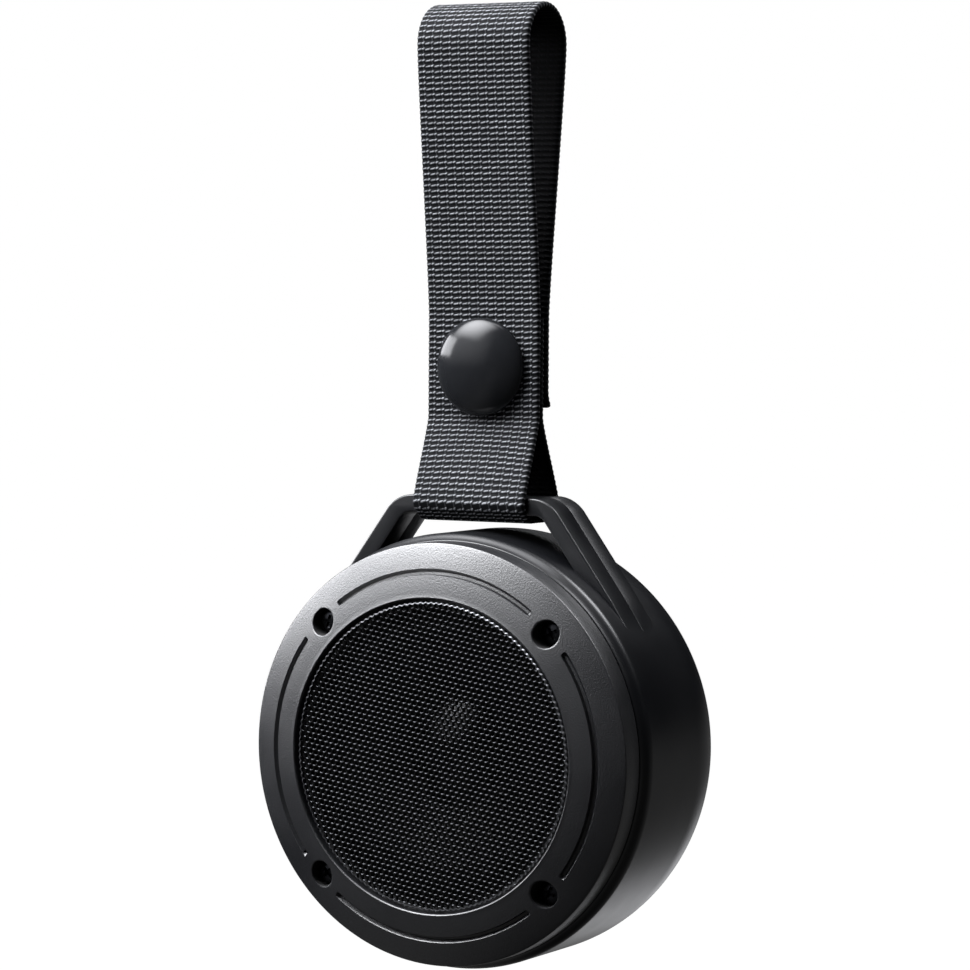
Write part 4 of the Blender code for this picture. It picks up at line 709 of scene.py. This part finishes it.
def buildCone():
    f = driverForm
    (edge, edgeY), (neck, neckY), sheet = f["coneEdge"], f["neck"], f["sheet"]
    front = []
    for share in (i / 16 for i in range(17)):
        bulge = f["bulge"] * math.sin(math.pi * share)
        front.append((edge + (neck - edge) * share, edgeY + (neckY - sheet - edgeY) * share - bulge))
    back = [(r, y + sheet) for r, y in reversed(front)]
    finishPiece(turnedObject("coneSkin", front + back, f["sides"]), "cone", ["cone"], coneSheet)
    dome = (f["capRadius"]**2 + f["capHeight"]**2) / (2 * f["capHeight"])
    swing = math.asin(f["capRadius"] / dome)
    top = f["capFoot"] - f["capHeight"]
    turns = [swing * i / 20 for i in range(21)]
    front = [(dome * math.sin(t), top + dome * (1 - math.cos(t))) for t in turns]
    back = [(r, y + sheet) for r, y in reversed(front)]
    finishPiece(turnedObject("dustDome", front + back, f["sides"]), "cone", ["dust_cap"], capSheet)


strapForm = {
    "width": 25.0, "thickness": 1.2, "rib": 1.107, "relief": 0.12, "serration": 0.1, "rowsPerRib": 6,
    "columns": 26, "mapLength": 250,  # mm of webbing in the height of its UV map
    "joint": 76.0, "snap": 74.5, "snapFlat": 9.5, "front": -0.95, "middle": 0.35, "flap": 2.55,
    "loopRadius": 7.5, "loopCentre": 137.7, "loopBack": 1.4, "loopEase": 0.12,
    "flapStart": 70.1, "flapEnd": 67.1, "flare": 1.0, "tabEnd": 84.2,
    "turnHeight": 48.0, "fold": 1.0, "lean": 50, "turn": 2.0, "barFront": -6.8, "barBack": 7.45,
    "barEase": 0.12, "backHeight": 47.45, "backTurn": 2.4, "bow": 0.55, "bowed": (9.0, 30.0), "flapLean": 6}


def uprightPath(start, end, reach, steps=60):
    lift = math.copysign(reach, end[1] - start[1])
    return curvePoints(start, (start[0], start[1] + lift), (end[0], end[1] - lift), end, steps)


def loopPath():  # up from the snap, over the top and down to the loose end
    f = strapForm
    high, top, radius, middle = f["snap"] + f["snapFlat"], f["loopCentre"], f["loopRadius"], f["loopBack"]
    ease = (top - high) * f["loopEase"]
    path = [(f["front"], f["joint"])] + uprightPath((f["front"], high), (middle - radius, top), ease)
    path += arcPoints((middle, top), radius, math.pi, 0, 60)[1:]
    path += uprightPath((middle + radius, top), (f["flap"], high), ease)[1:]
    for share in (i / 10 for i in range(11)):  # the loose end curls back a little
        path.append((f["flap"] + f["flare"] * share**2,
                     f["flapStart"] + (f["flapEnd"] - f["flapStart"]) * share))
    return path


def tailPath():  # down from the snap, under the handle's bar and up again
    f = strapForm
    low, lean, base = f["snap"] - f["snapFlat"], math.radians(f["lean"]), f["backHeight"] - f["backTurn"]
    rise = (low - f["backHeight"]) * f["barEase"]
    path = [(f["front"], f["joint"])]
    path += uprightPath((f["front"], low), (f["barFront"], f["turnHeight"]), rise)
    centre = (f["barFront"] + f["fold"], f["turnHeight"])
    path += arcPoints(centre, f["fold"], math.pi, math.pi + lean, 8)[1:]
    drop = path[-1][1] - base - f["turn"] * (1 - math.sin(lean))
    across = path[-1][0] + drop * math.tan(lean) + f["turn"] * math.cos(lean)
    path += arcPoints((across, base + f["turn"]), f["turn"], math.pi + lean, 1.5 * math.pi, 8)
    centre = (f["barBack"] - f["backTurn"], f["backHeight"])
    path += arcPoints(centre, f["backTurn"], 1.5 * math.pi, math.tau, 16)
    path += uprightPath((f["barBack"], f["backHeight"]), (f["middle"], low), rise)[1:]
    return path + [(f["middle"], f["tabEnd"])]


def evenPath(path, spacing):  # points at an even spacing along a path, and its length
    points = [Vector(p) for p in path]
    lengths = [0.0]
    for a, b in zip(points, points[1:]):
        lengths.append(lengths[-1] + (b - a).length)
    count = round(lengths[-1] / spacing)
    even, at = [], 0
    for i in range(count + 1):
        goal = lengths[-1] * i / count
        while at < len(lengths) - 2 and lengths[at + 1] < goal:
            at += 1
        gap = lengths[at + 1] - lengths[at]
        even.append(points[at].lerp(points[at + 1], (goal - lengths[at]) / gap if gap else 0))
    return even, lengths[-1]


def webbingSection(thick, wide):  # (x, depth) round the webbing, from the left of its outer side
    columns, span = strapForm["columns"], wide - thick
    section = [(-span + 2 * span * k / columns, thick) for k in range(columns + 1)]
    turns = [math.pi * k / 6 for k in range(1, 6)]
    section += [(span + thick * math.sin(t), thick * math.cos(t)) for t in turns]
    return section + [(-x, -depth) for x, depth in section]


def buildWebbing(name, path, way, bow=0.0):  # way is -1 where the path runs down from the snap
    f = strapForm
    points, length = evenPath(path, f["rib"] / f["rowsPerRib"])
    half, reach = f["width"] / 2, f["thickness"] / 2
    start, end = f["bowed"]
    bm = bmesh.new()
    uvLayer = bm.loops.layers.uv.new("webbing")
    spots, inner, rings = {}, set(), []
    for i, point in enumerate(points):
        along = (points[min(i + 1, len(points) - 1)] - points[max(i - 1, 0)]).normalized()
        across = Vector((-along.y, along.x))
        distance = way * length * i / (len(points) - 1)
        crest = 0.5 + 0.5 * math.cos(math.tau * distance / f["rib"])
        share = min(1.0, max(0.0, (abs(distance) - start) / (end - start)))
        pull = bow * math.sin(math.pi * share)**2  # the snap draws the middle of the rows below it upwards
        thick, wide = reach + f["relief"] * (crest - 0.5), half - f["serration"] * (1 - crest)
        ring = []
        for x, depth in webbingSection(thick, wide):
            at = point + across * depth - along * pull * (1 - (x / half)**2)
            vert = bm.verts.new((x, at.x, at.y))
            spots[vert] = (0.5 + x / f["width"], distance / f["mapLength"])
            if depth * way < 0:
                inner.add(vert)
            ring.append(vert)
        rings.append(ring)
    for low, high in zip(rings, rings[1:]):
        bridge(bm, low, high)
    for ring in (rings[0], rings[-1]):
        bm.faces.new(ring)
    for face in bm.faces:
        for loop in face.loops:
            loop[uvLayer].uv = spots[loop.vert]
        # faces on the inner side take the second material, the painted shade
        face.material_index = int(all(vert in inner for vert in face.verts))
    return meshObject(name, bm), length


weaveForm = {"repeat": 1.965, "fibre": 0.909, "relief": 0.15, "mean": "1b1c1f", "dark": "0c0d0f",
             "floats": ((0.34, 0.30), (0.82, 0.15)),  # middle and half of a long and a short one, in a repeat
             "split": 0.66, "slant": 0.1, "step": 0.13, "thread": 0.16, "selvedge": 0.55}


def nylonWebbing(name, pale):
    # woven nylon, ribbed: dull black filaments whose crests show as wavy rows of short pale dashes, a painted
    # highlight of the light on the crests
    f = weaveForm
    ribs, repeats = strapForm["mapLength"] / strapForm["rib"], strapForm["width"] / f["repeat"]
    material, tree, shader = newMaterial(name, f["mean"], 0.7, specular=0.06)
    place = addNode(tree, "ShaderNodeUVMap", uv_map="webbing")
    spot = addNode(tree, "ShaderNodeSeparateXYZ", [place]).outputs
    rib = addNode(tree, "ShaderNodeMath", [spot["Y"], ribs], operation="MULTIPLY")
    yarn = addNode(tree, "ShaderNodeMath", [spot["X"], repeats], operation="MULTIPLY")
    along = addNode(tree, "ShaderNodeMath", [yarn], operation="FRACT")
    asides, sizes, dashes = [], [], []
    for middle, half in f["floats"]:
        off = addNode(tree, "ShaderNodeMath", [along, middle], operation="SUBTRACT")
        asides.append(addNode(tree, "ShaderNodeMath", [off, half], operation="DIVIDE"))
        sizes.append(addNode(tree, "ShaderNodeMath", [asides[-1]], operation="ABSOLUTE"))
        dashes.append(addNode(tree, "ShaderNodeMapRange", [sizes[-1], 0.5, 1.0, 1.0, 0.0],
                              interpolation_type="SMOOTHSTEP"))
    dash = addNode(tree, "ShaderNodeMath", dashes, operation="MAXIMUM")
    second = addNode(tree, "ShaderNodeMath", [along, f["split"]], operation="GREATER_THAN")
    slant = addNode(tree, "ShaderNodeMix", {0: second, 2: asides[0], 3: asides[1]}, data_type="FLOAT")
    leaned = addNode(tree, "ShaderNodeMath", [slant, -f["slant"], rib], operation="MULTIPLY_ADD")
    lifted = addNode(tree, "ShaderNodeMath", [second, -f["step"], leaned], operation="MULTIPLY_ADD")
    turns = addNode(tree, "ShaderNodeMath", [lifted, math.tau], operation="MULTIPLY")
    wave = addNode(tree, "ShaderNodeMath", [turns], operation="COSINE")
    crest = addNode(tree, "ShaderNodeMapRange", [wave, 0.25, 1.0], interpolation_type="SMOOTHSTEP")
    swell = addNode(tree, "ShaderNodeMath", [dash, 0.75, 0.25], operation="MULTIPLY_ADD")
    height = addNode(tree, "ShaderNodeMath", [crest, swell], operation="MULTIPLY")
    size = (strapForm["width"], strapForm["mapLength"], 1.0)
    flat = addNode(tree, "ShaderNodeVectorMath", [place, size], operation="MULTIPLY")  # in mm
    fibres = addNode(tree, "ShaderNodeTexNoise", {
        "Vector": flat, "Scale": 1 / f["fibre"], "Detail": 3.0, "Roughness": 0.7})
    # patches of fibre make the painted highlight on the crests uneven
    patchyHighlight = addNode(tree, "ShaderNodeMapRange", [fibres, 0.3, 0.7, 0.45, 1.0], interpolation_type="SMOOTHSTEP")
    floats = addNode(tree, "ShaderNodeMath", [height, patchyHighlight], operation="MULTIPLY")
    thread = addNode(tree, "ShaderNodeMapRange", [sizes[1], 0.2, 0.6, f["thread"], 0.0],
                     interpolation_type="SMOOTHSTEP")  # a thread shows between the rows
    weave = addNode(tree, "ShaderNodeMath", [thread, fibres, floats], operation="MULTIPLY_ADD")
    off = addNode(tree, "ShaderNodeMath", [spot["X"], 0.5], operation="SUBTRACT")
    aside = addNode(tree, "ShaderNodeMath", [off], operation="ABSOLUTE")
    edge = addNode(tree, "ShaderNodeMapRange", [aside, 0.45, 0.49, 1.0, f["selvedge"]],
                   interpolation_type="SMOOTHSTEP")
    mask = addNode(tree, "ShaderNodeMath", [weave, edge], operation="MULTIPLY")
    tint = addNode(tree, "ShaderNodeMix", {
        0: mask, 6: hexColour(f["dark"]), 7: hexColour(pale)}, data_type="RGBA")
    bump = addNode(tree, "ShaderNodeBump", {
        "Height": height, "Strength": 0.7, "Distance": f["relief"] * 0.001})
    tree.links.new(tint.outputs[2], shader.inputs["Base Color"])
    tree.links.new(bump.outputs[0], shader.inputs["Normal"])
    return material


def buildStrap():
    f = strapForm
    # the pale colour is that of the painted highlights on the crests
    cloth = nylonWebbing("nylon webbing, ribbed weave", "94969a")
    reverse = nylonWebbing("nylon webbing, inner side in painted shade", "141518")  # the inner side, inside the loop and against the bar, is nearly black with no pale floats: painted shade
    loop, loopLength = buildWebbing("strapLoop", loopPath(), 1)
    tail, tailLength = buildWebbing("strapTail", tailPath(), -1, f["bow"])
    for piece, length, holder in ((loop, loopLength, "snap_cap"), (tail, tailLength, "housing")):
        piece.data.materials.append(cloth)
        piece.data.materials.append(reverse)
        piece.data.shade_smooth()
    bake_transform(loop)
    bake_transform(tail)
    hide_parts("strap_loop", "strap_flap")
    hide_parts("strap_end_tab", "strap_bar_loop")
    print("webbing: loop", round(loopLength, 1), "mm, tail", round(tailLength, 1), "mm")


snapForm = {"centre": 74.7, "radius": 9.6, "height": 3.7, "back": -2.2, "rim": 0.45, "fullness": 1.25,
            "edge": ((0.0, 0.2), (0.12, 0.05), (0.3, 0.0)),  # inwards and forwards from the back
            "seat": (8.2, -1.6), "sides": 160,
            "rivetRadius": 4.4, "rivetFront": 3.25, "rivetHeight": 0.6, "rivetEdge": 0.15, "rivetSides": 64}


def buildSnap():
    f = snapForm
    at, radius, back = (0, f["centre"]), f["radius"], f["back"]
    front, dome = back - f["height"], f["height"] - f["rim"]
    turns = [math.pi / 2 * i / 24 for i in range(25)]
    profile = [(radius * math.sin(t), front + dome * (1 - math.cos(t)**f["fullness"])) for t in turns]
    profile += [(radius - inward, back - forward) for inward, forward in f["edge"]]
    seat, foot = f["seat"]
    profile += [(seat, back), (seat, foot), (0, foot)]
    finishPiece(turnedObject("snapDome", profile, f["sides"], at), "strap", ["snap_cap"], capLacquer)
    radius, low, edge = f["rivetRadius"], f["rivetFront"], f["rivetEdge"]
    rise = f["rivetHeight"] - edge
    turns = [math.pi / 2 * i / 10 for i in range(1, 10)]
    profile = [(0, low), (radius - edge, low), (radius, low + edge)]
    profile += [(radius * math.cos(t), low + edge + rise * math.sin(t)) for t in turns]
    profile.append((0, low + f["rivetHeight"]))
    rivet = turnedObject("rivetHead", profile, f["rivetSides"], at)
    finishPiece(rivet, "strap_flap", ["snap_rivet"], capLacquer)


def coatInside():  # the CAD pieces that stay, most of them inside the drum
    # stamped and painted: dark, with soft highlights
    basket = grainy("steel basket, black paint", ("17181a", "1f2022"), (0.4, 0.5), 0.5, 0.01, 0.3)
    # wound wire under clear lacquer: a warm sheen
    copper = grainy("copper wire, lacquered", ("8a4a22", "b06a34"), (0.3, 0.4), 0.25, 0.02, 0.9)
    # cloth dipped in resin: tan and dull
    resinCloth = grainy("cotton cloth, resin stiffened", ("b59a5c", "8f7740"), (0.75, 0.85), 0.5, 0.03)
    # board under its mask: green with a wet look
    board = grainy("glass epoxy, green solder mask", ("0d3b22", "14502f"), (0.3, 0.4), 1.2, 0.004)
    # cut board: brown and dry
    phenolic = grainy("phenolic board, cut", ("8a6136", "6f4c28"), (0.6, 0.7), 0.6, 0.01)
    # moulded nylon: dark grey, half matt
    nylon = grainy("nylon switch body, moulded", ("2a2a2b", "343435"), (0.45, 0.55), 0.4, 0.005)
    # drawn foil: silvery, a little crumpled
    foil = grainy("aluminium laminate pouch", ("b8bcc0", "a6aaae"), (0.3, 0.42), 1.5, 0.02, 0.7)
    # foam tape: grey with no shine
    foam = grainy("acrylic foam tape", ("4a4a4b", "5a5a5b"), (0.85, 0.95), 0.5, 0.05)
    # extruded sheath: smooth, half glossy
    redWire = grainy("pvc wire, red", ("a11a16", "b2241e"), (0.35, 0.45), 0.5, 0.004)
    blackWire = grainy("pvc wire, black", ("141415", "1c1c1d"), (0.35, 0.45), 0.5, 0.004)
    looks = {
        "bezel_seal driver_gasket surround key_mat": rubber,
        "driver_basket": basket, "voice_coil": copper, "spider": resinCloth,
        "main_board": board, "terminal_strip": phenolic,
        "key_switch_1 key_switch_2 key_switch_3 key_switch_4": nylon,
        "snap_socket snap_stud charging_socket radio_shield magnet_cup pole_disc magnet": platedSteel,
        "microphone board_screw_1 board_screw_2 board_screw_3 board_screw_4": platedSteel,
        "battery_cell": foil, "battery_pad": foam,
        "speaker_lead_red battery_lead_red": redWire,
        "speaker_lead_black battery_lead_black microphone_lead": blackWire}
    for names, material in looks.items():
        for name in names.split():
            cad[name].data.materials.clear()
            cad[name].data.materials.append(material)


studio = {
    "lamps": {  # place, size and watts
        "high": ((-0.52, -0.42, 0.79), (1.1, 1.1), 51.0), "low": ((-0.7, -0.77, 0.45), (1.5, 1.2), 6.0),
        "left": ((-0.93, -0.20, 0.21), (0.6, 0.3), 8.5), "top": ((0.0, -0.1, 1.0), (0.5, 0.5), 3.5),
        "back": ((-0.32, 0.55, 0.8), (0.6, 0.6), 5.0), "right": ((0.48, 0.41, 0.8), (0.6, 0.6), 11.0),
        "under": ((-0.06, 0.7, -0.475), (0.35, 0.4), 0.33)},
    "aim": (0, 0, -0.1), "tint": "fafbff", "crisp": ("left",), "peak": 36.0,
    "floor": -0.62, "reach": 30.0, "shade": "5c5c5c", "dim": "0c0c0d", "white": "ffffff",
    "middle": (0.7, 2.2, 0.85, 1.0),  # the lamps light the middle, so it glows less
    "mirror": {  # what gloss shows of the floor, a painted reflection of lit paper: its side, from, to, and the levels there
        "near": ("X", -0.4, 0.0, 0.24, 0.0), "fade": ("X", -0.8, -0.4, 0.0, 1.0),
        "behind": ("Y", 0.0, 0.3, 0.0, 0.09), "beside": ("X", 0.0, 0.3, 0.0, 0.06)}}


def addLamp(name, place, size, power):
    lamp = bpy.data.lights.new(name + "Softbox", "AREA")
    lamp.shape = "RECTANGLE"
    lamp.size, lamp.size_y = size
    lamp.energy = power
    lamp.color = hexColour(studio["tint"])[:3]
    if name not in studio["crisp"]:  # the cloth of a softbox is brightest in its middle
        lamp.use_nodes = True
        tree = lamp.node_tree
        spot = addNode(tree, "ShaderNodeNewGeometry").outputs["Parametric"]
        sides = addNode(tree, "ShaderNodeSeparateXYZ", [spot]).outputs
        level = studio["peak"]
        for side in ("X", "Y"):
            rest = addNode(tree, "ShaderNodeMath", [1.0, sides[side]], operation="SUBTRACT")
            hump = addNode(tree, "ShaderNodeMath", [sides[side], rest], operation="MULTIPLY")
            level = addNode(tree, "ShaderNodeMath", [hump, level], operation="MULTIPLY")
        tree.links.new(level.outputs[0], tree.nodes["Emission"].inputs["Strength"])
    holder = addObject(name + "Softbox", lamp)
    holder.location = place
    holder.visible_camera = False
    holder.rotation_euler = (Vector(place) - Vector(studio["aim"])).to_track_quat("Z", "Y").to_euler()


def buildWorld():  # white behind the object, and dim as a light
    scene.world = bpy.data.worlds.new("studioWhite")
    scene.world.use_nodes = True
    tree = scene.world.node_tree
    ray = addNode(tree, "ShaderNodeLightPath").outputs
    seen = addNode(tree, "ShaderNodeMath", [ray["Is Camera Ray"], ray["Is Transmission Ray"]],
                   operation="MAXIMUM")
    tint = addNode(tree, "ShaderNodeMix", {
        0: seen, 6: hexColour(studio["dim"]), 7: hexColour(studio["white"])}, data_type="RGBA")
    tree.links.new(tint.outputs[2], tree.nodes["Background"].inputs["Color"])


def paperSweep():
    # paper roll, smooth and white: plain white to the camera, and in gloss a painted reflection of paper lit
    # at the left, behind and beside
    paper, tree, shader = newMaterial("white paper sweep", studio["shade"], 0.9)
    white = hexColour(studio["white"])
    ray = addNode(tree, "ShaderNodeLightPath").outputs
    place = addNode(tree, "ShaderNodeTexCoord").outputs["Object"]
    far = addNode(tree, "ShaderNodeVectorMath", [place], operation="LENGTH").outputs["Value"]
    level = addNode(tree, "ShaderNodeMapRange", [far, *studio["middle"]])
    seen = addNode(tree, "ShaderNodeMath", [ray["Is Camera Ray"], level], operation="MULTIPLY")
    glow = addNode(tree, "ShaderNodeEmission", {"Color": white, "Strength": seen})
    lit = addNode(tree, "ShaderNodeAddShader", [shader, glow])
    sides = addNode(tree, "ShaderNodeSeparateXYZ", [place]).outputs
    ramps = {}
    for name, (side, *levels) in studio["mirror"].items():
        ramps[name] = addNode(tree, "ShaderNodeMapRange", [sides[side], *levels])
    beyond = addNode(tree, "ShaderNodeMath", [ramps["behind"], ramps["beside"]], operation="ADD")
    mirrored = addNode(tree, "ShaderNodeMath", [ramps["near"], ramps["fade"], beyond],
                       operation="MULTIPLY_ADD")
    # gloss sees this glow, a painted reflection of the lit paper
    strip = addNode(tree, "ShaderNodeEmission", {"Color": white, "Strength": mirrored})
    both = addNode(tree, "ShaderNodeMixShader", [ray["Is Glossy Ray"], lit, strip])
    tree.links.new(both.outputs[0], tree.nodes["Material Output"].inputs["Surface"])
    return paper


def buildStudio():
    for name, (place, size, power) in studio["lamps"].items():
        addLamp(name, place, size, power)
    buildWorld()
    mesh = bpy.data.meshes.new("studioFloor")
    reach, low = studio["reach"], studio["floor"]
    corners = [(x * reach, y * reach, low) for x, y in ((-1, -1), (1, -1), (1, 1), (-1, 1))]
    mesh.from_pydata(corners, [], [(0, 1, 2, 3)])
    mesh.materials.append(paperSweep())
    addObject("studioFloor", mesh)


buildStudio()
print("camera and studio set")
buildStrap()
buildSnap()
print("strap and snap made")
buildHousing()
buildKeys()
buildCover()
print("drum made")
buildScrews(buildBezel())
buildGrille()
buildTrim()
buildCone()
print("bezel, grille and cone made")
coatInside()
